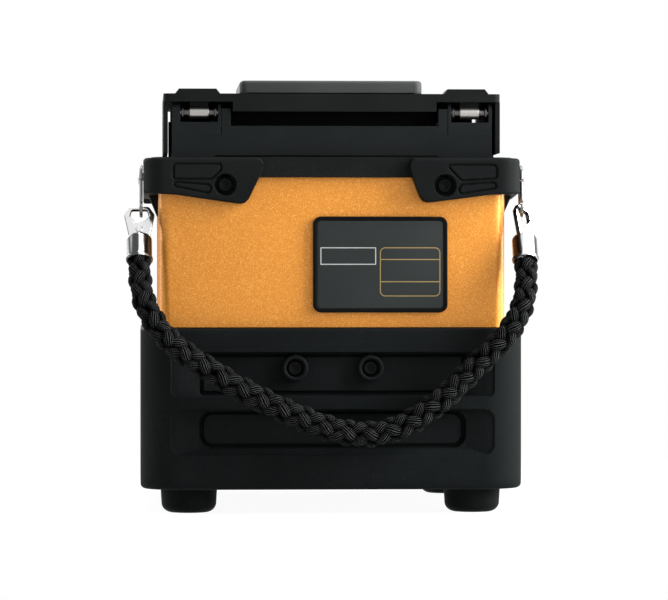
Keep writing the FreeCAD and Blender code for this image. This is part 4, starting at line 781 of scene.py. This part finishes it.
def plate_box(x0, z0, x1, z1, radius, steps=5):
    """A rounded rectangle on the plate, from places on the splicer to the plate's own axes."""
    x, z = plate_middle[0], plate_middle[2]
    return rectangle(x0 - x, z0 - z, x1 - x, z1 - z, radius, steps)


def band(outline, wide, low, high):
    """A closed strip along the outline, wide towards its inside, between two levels."""
    far = inset(outline, wide)
    rings = [at_level(line, level)
             for line, level in ((outline, low), (outline, high), (far, high), (far, low))]
    return form(np.stack(rings), looped=True)


def on_plate(shape):
    """A form in the plate's own axes, carried to its place: its level 0 lies on the body."""
    return facing_rear(shape, (plate_middle[0], plate_high[1], plate_middle[2]))


# The plate's rim is flat and polished, and the film lies in a shallow tray inside it.
edge = plate_box(*plate_low[::2], *plate_high[::2], 3.0, 8)
tray = [at_level(inset(edge, amount), level)
        for amount, level in ((1.25, 2.0), (1.4, 1.9), (1.45, 1.6), (1.7, 1.55))]
plate_rings = np.concatenate([slab(edge, 0.0, 2.0, 0.1, 0.45), np.stack(tray)])
label_edge = moulded("label_edge", (0.0016, 0.0019, 0.0020), (0.0034, 0.0038, 0.0040),
                     rough=(0.36, 0.48), grain=2400.0, bump=0.1, specular=0.06)
piece("label_plate_moulded", on_plate(form(plate_rings)), label_edge, "case", ["label_plate"])
film = slab(inset(edge, 1.6), 1.5, 1.66, 0, 0.05)
piece("label_film_sheet", on_plate(form(film)), label_face, "case")
box_line = band(plate_box(-4.5, 92.8, 16.3, 99.3, 0.3), 0.36, print_back, print_face)
piece("label_white_frame", on_plate(box_line), white_print, "case")
frame_lines = [band(plate_box(17.7, 81.0, 40.3, 99.3, 2.0), 0.34, print_back, print_face)]
frame_lines += [form(slab(plate_box(18.0, level, 40.0, level + 0.36, 0.05, 1), print_back,
                          print_face, 0, 0)) for level in (86.3, 94.6)]
piece("label_gold_frame", on_plate(together(*frame_lines)), gold_print, "case")

# ---- Upper deck, hinges and wind cover ------------------------------------------------------
# The deck closes the top of the case. Two bracket blocks on its rear edge hold steel hinge
# barrels, and the wind cover with its raised plate turns on them.
deck_plastic = moulded("deck_plastic", (0.0085, 0.0100, 0.0102), (0.0140, 0.0163, 0.0165),
                       rough=(0.44, 0.56), grain=2300.0, bump=0.22, specular=0.04)
cover_plastic = moulded("cover_plastic", (0.0068, 0.0077, 0.0076), (0.0115, 0.0128, 0.0126),
                        rough=(0.46, 0.58), grain=2300.0, bump=0.22, specular=0.04)
plate_plastic = moulded("top_plate_plastic", (0.046, 0.049, 0.0485), (0.062, 0.066, 0.065),
                        rough=(0.42, 0.5), grain=2600.0, bump=0.15, specular=0.15)
bright_steel = moulded("turned_steel", (0.30, 0.29, 0.27), (0.50, 0.49, 0.465),
                       rough=(0.26, 0.38), grain=3200.0, bump=0.10, specular=0.5, metal=1.0,
                       mark_colour=(0.6, 0.58, 0.55))
eased("upper_deck", deck_plastic, 0.5)
eased("hinge_brackets", deck_plastic, 0.5)
eased("hinge_pins", bright_steel, 0.15)

# Each hinge barrel has a polished middle between two dark collars with a neck and a disc. A
# flat leaf goes up from it into the cover.
hinge_axis = sum(box_of("hinge_pins"))[1:] / 2
hinge_left, hinge_right = -49.6, 51.6
collar = [(1.1, -6.6), (2.2, -6.6), (2.45, -6.4), (2.45, -5.8), (2.2, -5.6), (1.75, -5.5),
          (1.7, -4.1), (1.85, -3.75), (1.85, -3.5), (1.1, -3.5)]
barrel = [(1.1, -3.6), (2.25, -3.6), (2.42, -3.4), (2.42, 3.4), (2.25, 3.6), (1.1, 3.6)]
ends = together(form(turned(collar, 48)), form(turned([(r, -h) for r, h in collar[::-1]], 48)))
leaf = slab(rectangle(-3.5, -0.6, 3.5, 0.6, 0.2, 2), 2.2, 5.9)
dark_steel = moulded("dark_steel", (0.070, 0.068, 0.064), (0.130, 0.127, 0.120),
                     rough=(0.24, 0.36), grain=3200.0, bump=0.10, specular=0.5, metal=1.0,
                     mark_colour=(0.3, 0.29, 0.28))
places = [(x, *hinge_axis) for x in (hinge_left, hinge_right)]
barrels = [seated(form(turned(barrel, 48)), place, (0, 1, 0), (0, 0, 1)) for place in places]
collars = [seated(ends, place, (0, 1, 0), (0, 0, 1)) for place in places]
leaves = [seated(form(leaf), place, (1, 0, 0), (0, 1, 0)) for place in places]
piece("hinge_barrels", together(*barrels), bright_steel, "wind_cover", ["hinge_sleeves"])
piece("hinge_collars", together(*collars), dark_steel, "wind_cover")
piece("hinge_leaves", together(*leaves), blackened, "wind_cover")
eased("wind_cover", cover_plastic, 0.6)

# The raised plate on the cover. Its groove's rings come one ring early, so the wall that follows
# them covers the groove.
lid_low, lid_high = box_of("cover_top_plate")
lid_outline = rectangle(*lid_low[:2], *lid_high[:2], 3.0, 8)
lid_rings = slab(lid_outline, lid_low[2] - 0.4, lid_high[2], 0.05, 1.3, 6)
lid_groove = [at_level(inset(lid_outline, amount), lid_low[2] + up)
              for amount, up in ((0.0, 0.5), (0.35, 0.55), (0.35, 0.8), (0.0, 0.85))]
lid_rings = np.concatenate([lid_rings[:6], np.stack(lid_groove), lid_rings[6:]])
piece("lid_grip_plate", form(lid_rings), plate_plastic, "wind_cover", ["cover_top_plate"],
      crease=40)

# A matt black strip stands on the deck inside the cover's rear lip and fills the gap behind it
# with painted shade, with a black pad at each end of the cover.
gap_shade_strip = form(slab(rectangle(-37.2, -66.2, 39.2, -65.0, 0.3, 3), 140.6, 152.9, 0.1, 0.55))
pad = form(slab(rectangle(-61.0, -65.6, -59.9, -58.0, 0.3, 3), 132.5, 146.3, 0.1, 0.3))
matt_black_strip = moulded("matt_black_strip", (0.0012, 0.0013, 0.0013), (0.0026, 0.0028, 0.0028),
                    rough=(0.7, 0.85), grain=1200.0, bump=0.5, specular=0.02)
piece("lip_gap_dark_strips", together(gap_shade_strip, pad, mirrored(pad)), matt_black_strip, "case",
      crease=40)

# A thin matt black strip round the metal body at the top of the bumper tub paints the dark line
# at their joint: painted shade in the gap and a painted reflection of the bumper in the gold. A
# straight black strip lies along the deck's rear edge between the hinge brackets as a dark line.
x, y = box_of("body_sleeve")[1][:2] + 0.2
lip = band(rectangle(-x, -y, x, y, 4.7, 8), 0.8, tub_top - 1.0, tub_top + 0.4)
piece("tub_joint_painted_shade", lip, matt_black_strip, "case", crease=40)
joint = slab(rectangle(-43.6, -71.35, 39.8, -70.6, 0.3, 3), 132.8, 133.65, 0.05, 0.05)
piece("deck_dark_line", form(joint), matt_black_strip, "case", crease=40)

# ---- Carrying strap -------------------------------------------------------------------------
# A domed stud on each side holds a flat snap link. A crimped ferrule with an eye plate hangs in
# the link, and a thick braided rope runs from one ferrule behind the case to the other.
chrome = moulded("nickel_chrome", (0.62, 0.62, 0.63), (0.74, 0.74, 0.745), rough=(0.12, 0.24),
                 grain=2800.0, bump=0.05, specular=0.5, metal=1.0, mark_colour=(0.5, 0.5, 0.5))
# Plated steel that hangs beside the case, with its reflections painted into its colour by the way
# its surface faces: a painted dark reflection of the case on the side that faces it, a narrow
# painted highlight strip towards the rear, and a painted dark grey reflection on the outer side.
painted_reflection_nickel, tree, place = new_material("nickel_painted_reflection")
got = from_group(tree, moulded_grain, place, Grain=2800.0, Cloud=60.0)
facing = put(tree, "SeparateXYZ",
             Vector=put(tree, "NewGeometry")["Normal"])
hand = calc(tree, "SIGN", put(tree, "SeparateXYZ", Vector=place)[0])
outward = calc(tree, "MULTIPLY", facing[0], hand)
outward = calc(tree, "MULTIPLY_ADD", calc(tree, "SUBTRACT", got["Gloss"], 0.5), 0.35, outward)
painted_highlight_share = between(tree, outward, -0.42, -0.28, 0, 1)
# The painted highlight strip is wider on the right cap, which faces the key light.
key_light_highlight_shift = calc(tree, "MULTIPLY_ADD", hand, -0.30, calc(tree, "ADD", outward, -0.08))
painted_outer_dark_share = between(tree, key_light_highlight_shift, 0.20, 0.32, 0, 1)
colour = tone(tree, painted_highlight_share, (0.035, 0.027, 0.020), (0.80, 0.80, 0.80))
principled(tree, Base_Color=tone(tree, painted_outer_dark_share, colour, (0.066, 0.068, 0.069)), Metallic=1.0,
           Roughness=between(tree, got["Gloss"], 0.3, 0.7, 0.16, 0.26))
link_metal = moulded("link_nickel", (0.13, 0.13, 0.13), (0.22, 0.22, 0.215), rough=(0.14, 0.26),
                     grain=2800.0, bump=0.06, specular=0.5, metal=1.0,
                     mark_colour=(0.3, 0.3, 0.3))
for word in ("left", "right"):
    eased("strap_link_" + word, link_metal, 0.45)
    eased("link_gate_" + word, link_metal, 0.5)

# Stud heads are low turned domes on a plain shank.
dome = np.linspace(0, np.pi / 2, 8)
stud_profile = np.r_[[(0.1, -7.0), (1.85, -7.0), (1.85, 0.0), (3.15, 0.0), (3.2, 0.12)],
                     np.stack([0.1 + 3.1 * np.cos(dome), 0.12 + 0.55 * np.sin(dome)], 1)]
stud_base = (box_of("strap_studs")[1][0] - 0.72, -65.0, 126.0)
stud = seated(form(turned(stud_profile, 48)), stud_base, (0, 1, 0), (0, 0, 1))
piece("stud_heads", together(stud, mirrored(stud)), chrome, "case", ["strap_studs"])

# The crimped cap: a stamped eye plate with a hole shaped like its outline and a hexagon pressed
# into its tail, and a deep drawn ferrule with a round shoulder and a rolled mouth.
# The right cap's pivot in its link, and the way it hangs: 30 degrees back from straight down.
cap_down = np.array((0.0, -np.sin(np.radians(30)), -np.cos(np.radians(30))))
cap_pivot = np.array((71.8, -67.344, 112.705))
eye_out = rounded([(-3.53, 1.6), (-5.7, -1.8), (-3.7, -11.8), (3.7, -11.8), (5.7, -1.8),
                   (3.53, 1.6)], [1.2, 1.4, 0.6, 0.6, 1.4, 1.2], 6)
eye_in = rounded([(-2.85, 0.3), (-3.53, -2.6), (-1.6, -4.8), (1.6, -4.8), (3.53, -2.6),
                  (2.85, 0.3)], [0.7, 0.8, 0.8, 0.8, 0.8, 0.7], 6)


def plate_ring(outer, inner, half, soft):
    """A closed band between two outlines, with rounded edges on both of its faces."""
    turn = np.linspace(0, np.pi / 2, 5)
    ins, ups = soft * (1 - np.sin(turn)), soft * np.cos(turn)
    wall = [*zip(ins, soft - ups - half), *zip(ins[::-1], half - soft + ups[::-1])]
    rings = [at_level(inset(outer, amount), level) for amount, level in wall]
    rings += [at_level(inset(inner, -amount), level) for amount, level in wall[::-1]]
    return form(np.stack(rings), looped=True)


eye_plate = plate_ring(eye_out, eye_in, 0.9, 0.35)
six = np.linspace(0, 2 * np.pi, 6, endpoint=False)
hexagon = np.stack([1.5 * np.cos(six), 1.5 * np.sin(six) - 8.2], 1)
boss = form(slab(rounded(hexagon, 0.15, 2), 0.85, 1.25, 0.02, 0.25))
shoulder = np.linspace(0, np.pi / 2, 7)
cup = np.r_[[(0.1, 10.9), (2.6, 10.9)],
            np.stack([2.9 + 1.75 * np.sin(shoulder), 12.7 - 1.75 * np.cos(shoulder)], 1),
            [(4.68, 19.6), (4.85, 20.1), (5.0, 20.5), (5.0, 21.1), (4.85, 21.35), (4.55, 21.4),
             (4.3, 21.1), (4.25, 17.0), (0.1, 17.0)]]


def painted_reflection_chrome(name, out):
    """Chrome whose colour paints its reflections: a painted bright reflection on the plate's two
    faces and a painted dark reflection of the case on its edges. The share is how far the normal
    lies along the plate's own normal."""
    material, tree, place = new_material(name)
    got = from_group(tree, moulded_grain, place, Grain=2800.0, Cloud=60.0)
    normal = put(tree, "TexCoord")["Normal"]
    along = put(tree, "VectorMath", {"operation": "DOT_PRODUCT"}, _0=normal,
                _1=tuple(out))["Value"]
    flat = between(tree, calc(tree, "ABSOLUTE", along), 0.72, 0.93, 0, 1)
    principled(tree, Metallic=1.0,
               Base_Color=tone(tree, flat, (0.030, 0.026, 0.022), (0.78, 0.78, 0.785)),
               Roughness=between(tree, got["Gloss"], 0.3, 0.7, 0.10, 0.20))
    return material


# The right cap has turned by 50 degrees in its link.
up = -cap_down
for word, side, twist in (("left", -1, 0.0), ("right", 1, np.radians(50))):
    across = (np.cos(twist), np.sin(twist) * up[2], -np.sin(twist) * up[1])
    plate = seated(together(eye_plate, boss), cap_pivot, across, up)
    ferrule = seated(form(turned(cup, 56)), cap_pivot, (1, 0, 0),
                     (0, cap_down[2], -cap_down[1]))
    if side < 0:
        plate, ferrule = mirrored(plate), mirrored(ferrule)
    finish = painted_reflection_chrome("eye_chrome_painted_reflection_" + word, np.cross(across, up))
    piece("cap_eye_" + word, plate, finish, "strap", ())
    piece("cap_ferrule_" + word, ferrule, painted_reflection_nickel, "strap", ["cord_cap_" + word])

# The rope: the route's points, mouth to mouth, carried by one smooth spline.
rope_route = [(-71.8, -78.044, 94.172), (-71.8, -84.244, 83.433), (-67.3, -88.3, 72.6),
              (-59.4, -88.8, 63.0), (-48.4, -88.0, 55.4), (-37.0, -88.4, 48.2),
              (-24.6, -88.0, 41.8), (-12.0, -88.4, 36.0), (0.4, -88.2, 31.4), (12.6, -88.0, 29.6),
              (24.0, -88.2, 32.2), (34.4, -88.4, 38.6), (44.0, -88.0, 46.8), (53.2, -88.4, 56.2),
              (62.1, -88.8, 64.7), (68.4, -87.8, 73.6), (71.8, -84.244, 83.433),
              (71.8, -78.044, 94.172)]


def spline_points(name, route, finer=24):
    """Points in mm along a smooth spline whose control points are the route's, close together."""
    curve = bpy.data.curves.new(name, "CURVE")
    curve.dimensions = "3D"
    line = curve.splines.new("NURBS")
    line.points.add(len(route) - 1)
    line.points.foreach_set("co", np.c_[np.array(route) * MM, np.ones(len(route))].ravel())
    line.order_u, line.use_endpoint_u, line.resolution_u = 3, True, finer
    holder = new_object(name, curve)
    mesh = bpy.data.meshes.new_from_object(holder)
    points = np.empty(len(mesh.vertices) * 3)
    mesh.vertices.foreach_get("co", points)
    bpy.data.objects.remove(holder)
    return points.reshape(-1, 3) / MM


def even(points, count):
    """The line divided again into count points at equal distances along it."""
    far = np.r_[0, np.cumsum(np.linalg.norm(np.diff(points, axis=0), axis=1))]
    at = np.linspace(0, far[-1], count)
    return np.stack([np.interp(at, far, points[:, i]) for i in range(3)], 1), far[-1]


# Four strands go round the rope each way, and each is drawn as rings of points.
lays, pitch, ring_count, ring_sides = 4, 33.6, 300, 24
rope_line, rope_length = even(spline_points("rope_route", rope_route), ring_count)
ahead = unit(np.gradient(rope_line, axis=0))
# The rope's own axes: one is +Y less its part along the rope, and the other crosses both.
level = unit(np.array((0.0, 1.0, 0.0)) - ahead * ahead[:, 1:2])
side = np.cross(ahead, level)
along = np.linspace(0, rope_length, ring_count)
ring_turn = np.linspace(0, 2 * np.pi, ring_sides, endpoint=False)


def strand(number, way):
    """Rings of one flat strand. Its middle goes round the rope once a pitch, at a distance that
    rises and falls by weave four times a turn, as it passes over one strand and under the next.
    Its section is a superellipse, wide along the rope's surface and thin across it. The lay
    wanders by up to loosest radians, and the strand swells towards the rope's middle."""
    lay_radius, weave, wide, thick, loosest, swelling = 2.05, 1.05, 1.68, 1.34, 0.16, 0.14
    rng = np.random.default_rng(40 + number + 10 * (way > 0))
    loose = np.cumsum(rng.normal(0, 1, ring_count))
    loose = np.convolve(loose - loose.mean(), np.ones(21) / 21, "same")
    loose *= loosest / max(np.abs(loose).max(), 1e-6)
    turn = 2 * np.pi * along / pitch
    angle = way * turn + number * np.pi / 2 + loose
    fuller = 1 + swelling * np.sin(np.pi * along / rope_length) ** 0.7
    over_under = way * np.cos(lays * turn)
    far = lay_radius + weave * over_under
    out = np.cos(angle)[:, None] * level + np.sin(angle)[:, None] * side
    middle = rope_line + (far * fuller)[:, None] * out
    run = unit(np.gradient(middle, axis=0))
    out = unit(out - run * (out * run).sum(1, keepdims=True))
    over = np.cross(run, out)
    swell = (fuller * (1 + swelling * over_under))[:, None]
    across = wide * swell * np.sign(np.cos(ring_turn)) * np.abs(np.cos(ring_turn)) ** 0.85
    thickness = thick * fuller[:, None] * np.sin(ring_turn)
    return (middle[:, None] + over[:, None] * across[:, :, None]
            + out[:, None] * thickness[:, :, None])


def strand_faces(count, around, weaves):
    """Quads between each ring and the next, with a map whose u goes round the strand, from 0 to
    1, and whose v counts the weaves along it."""
    at = np.arange(count * around).reshape(count, around)
    quads = np.stack([at[:-1], at[1:], np.roll(at[1:], -1, 1), np.roll(at[:-1], -1, 1)], -1)
    u, v = np.meshgrid(np.arange(around), np.arange(count - 1))
    corners = np.stack([np.stack([u, v], -1), np.stack([u, v + 1], -1),
                        np.stack([u + 1, v + 1], -1), np.stack([u + 1, v], -1)], 2)
    return quads.reshape(-1, 4), corners.reshape(-1, 2) / (around, (count - 1) / weaves)


# Braided cord: fine filaments run along each strand, so the map's u carries narrow threads. The
# cord is black, with painted light in its colour: a painted grey highlight along each thread's
# ridge, and painted shade in the grooves between threads.
rope_fibre, tree, place = new_material("braided_cord")
chart = put(tree, "UVMap", {"uv_map": "strand"})
split = put(tree, "SeparateXYZ", Vector=chart[0])
wander = put(tree, "TexNoise", Vector=place, Scale=420.0, Detail=2.0)
threads = calc(tree, "MULTIPLY_ADD", split[0], 2 * np.pi * 17,
               calc(tree, "MULTIPLY", wander[0], 5.0))
ridge = calc(tree, "MULTIPLY_ADD", calc(tree, "SINE", threads), 0.5, 0.5)
fuzz = put(tree, "TexNoise", Vector=place, Scale=2600.0, Detail=3.0)
painted_thread_light = calc(tree, "MULTIPLY", calc(tree, "POWER", ridge, 1.8), fuzz[0])
# Painted shade darkens each strand towards its edges, in the crevices between strands, so it is
# palest on its back, where it lies over another one.
back = calc(tree, "SINE", calc(tree, "MULTIPLY", split[0], 2 * np.pi))
over = calc(tree, "COSINE", calc(tree, "MULTIPLY", split[1], 2 * np.pi))
crevice_painted_shade = between(tree, calc(tree, "ADD", back, over), -0.1, 1.7, 0.02, 1.15)
painted_thread_light = calc(tree, "MULTIPLY", painted_thread_light, crevice_painted_shade)
colour = tone(tree, between(tree, painted_thread_light, 0.20, 0.66, 0, 1), (0.0004, 0.0005, 0.0005),
              (0.078, 0.082, 0.081))
relief = put(tree, "Bump", Strength=1.0, Distance=0.0005,
             Height=calc(tree, "MULTIPLY_ADD", fuzz[0], 0.3, ridge))
principled(tree, Base_Color=colour, Normal=relief[0], Specular_IOR_Level=0.012,
           Roughness=between(tree, fuzz[0], 0.3, 0.7, 0.55, 0.75))

quads, chart_corners = strand_faces(ring_count, ring_sides, lays * rope_length / pitch)
strands = [strand(number, way) for way in (1, -1) for number in range(lays)]
core_radius = 1.5
core = rope_line[:, None] + core_radius * (np.cos(ring_turn)[None, :, None] * side[:, None]
                                           + np.sin(ring_turn)[None, :, None] * level[:, None])
pieces = strands + [core]
points = np.concatenate([rings.reshape(-1, 3) for rings in pieces]) * MM
starts = [i * ring_count * ring_sides for i in range(len(pieces))]
faces = np.concatenate([quads + start for start in starts])
first_ring, last_ring = np.arange(ring_sides), np.arange(-ring_sides, 0) + ring_count * ring_sides
ends = [(first_ring + start).tolist() for start in starts]
ends += [(last_ring[::-1] + start).tolist() for start in starts]
mesh = bpy.data.meshes.new("strap_braid")
mesh.from_pydata(points.tolist(), [], faces.tolist() + ends)
chart_map = mesh.uv_layers.new(name="strand")
flat = np.zeros((len(mesh.loops), 2))
# Strands that go round the other way are half a weave later, so the map's v starts at 0.5.
flat[:len(chart_corners) * len(pieces)] = np.concatenate(
    [chart_corners + (0, 0.5 * (lays <= i < 2 * lays)) for i in range(len(pieces))])
chart_map.data.foreach_set("uv", flat.ravel())
mesh.polygons.foreach_set("use_smooth", np.ones(len(mesh.polygons), bool))
mesh.materials.append(rope_fibre)
rope = new_object("strap_braid", mesh)
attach(rope, "strap")
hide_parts("strap_rope")

# ---- Screen, keys and battery ---------------------------------------------------------------
# The front carries a display behind black glass in a moulded housing, four soft keys under it,
# and a battery pack with its thumb latch in the lower opening.
housing_plastic = moulded("housing_plastic", (0.0060, 0.0072, 0.0075), (0.0110, 0.0128, 0.0132),
                          rough=(0.44, 0.56), grain=2300.0, bump=0.2)
key_rubber = moulded("keypad_rubber", (0.035, 0.037, 0.038), (0.055, 0.058, 0.059),
                     rough=(0.55, 0.7), grain=2000.0, bump=0.25, specular=0.3)
battery_plastic = moulded("battery_plastic", (0.0070, 0.0080, 0.0095), (0.0130, 0.0145, 0.0165),
                          rough=(0.45, 0.58), grain=1500.0, bump=0.35)
latch_plastic = moulded("latch_plastic", (0.48, 0.15, 0.02), (0.60, 0.20, 0.03),
                        rough=(0.38, 0.5), grain=2400.0, bump=0.15, specular=0.4,
                        mark_colour=(0.3, 0.12, 0.04))
display = moulded("dark_display", (0.006, 0.007, 0.010), (0.010, 0.0115, 0.016),
                  rough=(0.16, 0.2), grain=900.0, bump=0.0, specular=0.5, marks=0.0)
eased("screen_housing", housing_plastic, 0.4)
eased("screen_pins", bright_steel, 0.15)
eased("lcd_panel", display, 0.2)
# The cover glass is bonded to the display, which is off: black glass with a blacker printed
# border round the lit area, and faint smudges where fingers have touched it.
glass, tree, place = new_material("cover_glass")
smudge = from_group(tree, handling_marks, place, Scratch=60.0, Amount=1.0)["Mask"]
film = put(tree, "TexNoise", Vector=place, Scale=22.0, Detail=3.0)[0]
spot = put(tree, "SeparateXYZ", Vector=place)
glass_low, glass_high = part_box("touch_glass")
lit = 1.0
for axis, border in ((0, 0.0045), (2, 0.0035)):
    middle = (glass_low[axis] + glass_high[axis]) / 2
    reach_out = (glass_high[axis] - glass_low[axis]) / 2 - border
    off = calc(tree, "ABSOLUTE", calc(tree, "SUBTRACT", spot[axis], middle))
    lit = calc(tree, "MULTIPLY", calc(tree, "LESS_THAN", off, reach_out), lit)
principled(tree, IOR=1.5, Specular_IOR_Level=0.4,
           Base_Color=tone(tree, lit, (0.0016, 0.0017, 0.0019), (0.0105, 0.0120, 0.0150)),
           Roughness=calc(tree, "MULTIPLY_ADD", smudge, 0.10,
                          between(tree, film, 0.35, 0.7, 0.03, 0.09)))
eased("touch_glass", glass, 0.2)
for word in ("power", "heat", "run", "reset"):
    eased(word + "_key", key_rubber, 0.5)
eased("battery_pack", battery_plastic, 0.6)
eased("battery_latch", latch_plastic, 0.25)

# ---- Openings of the sides ------------------------------------------------------------------
# The right wall holds a moulded panel with the power jack. Behind the vent slots of the left one
# a small rotor turns in a square fan frame.
eased("port_panel", housing_plastic, 0.25)
fan_plastic = moulded("fan_plastic", (0.008, 0.008, 0.0085), (0.014, 0.014, 0.0145),
                      rough=(0.35, 0.45), grain=2600.0, bump=0.1, specular=0.4)
eased("power_jack", bright_steel, 0.2)
eased("fan_frame", fan_plastic, 0.3)
eased("fan_rotor", fan_plastic, 0.2)

# ---- Inside: chassis, boards and battery bay ------------------------------------------------
# The aluminium base plate, inner frame and battery bay, two green circuit boards, the moulded
# front panel, and the brass insert that takes a tripod.
anodised = moulded("black_anodised", (0.030, 0.031, 0.034), (0.052, 0.053, 0.057),
                   rough=(0.34, 0.46), grain=2600.0, bump=0.15, specular=0.5, metal=0.6)
blasted = moulded("blasted_aluminium", (0.40, 0.41, 0.42), (0.56, 0.57, 0.58),
                  rough=(0.36, 0.48), grain=2400.0, bump=0.2, specular=0.5, metal=1.0,
                  mark_colour=(0.65, 0.66, 0.67))
solder_mask = moulded("solder_mask", (0.008, 0.085, 0.032), (0.014, 0.125, 0.05),
                      rough=(0.28, 0.4), grain=900.0, bump=0.3, specular=0.5,
                      mark_colour=(0.30, 0.27, 0.12))
brass = moulded("turned_brass", (0.50, 0.34, 0.12), (0.66, 0.47, 0.19), rough=(0.24, 0.36),
                grain=2800.0, bump=0.1, specular=0.5, metal=1.0, mark_colour=(0.7, 0.55, 0.3))
ceramic = moulded("zirconia", (0.66, 0.65, 0.60), (0.76, 0.75, 0.70), rough=(0.18, 0.3),
                  grain=2400.0, bump=0.06, specular=0.5, mark_colour=(0.6, 0.59, 0.55))
for node in ("base_plate", "chassis", "battery_bay"):
    eased(node, blasted, 0.3)
for node in ("main_board", "arc_board"):
    eased(node, solder_mask, 0.1)
eased("front_panel", housing_plastic, 0.3)
eased("tripod_insert", brass, 0.2)

# ---- Splicing bench -------------------------------------------------------------------------
# Under the wind cover a ceramic V-groove block lies over two microscopes, between two electrodes
# and two sliding fibre stages. The tube heater's trough and its lid are in front of the cover.
eased("groove_block", ceramic, 0.15)
eased("electrodes", blackened, 0.1)
for node in ("electrode_holders", "microscopes", "fiber_stage_left", "fiber_stage_right"):
    eased(node, anodised, 0.2)
for word in ("left", "right"):
    eased("holder_lid_" + word, blasted, 0.2)
for word in ("left", "right"):
    eased("clamp_arm_" + word, anodised, 0.2)
eased("heater_trough", anodised, 0.25)
eased("heater_lid", housing_plastic, 0.3)
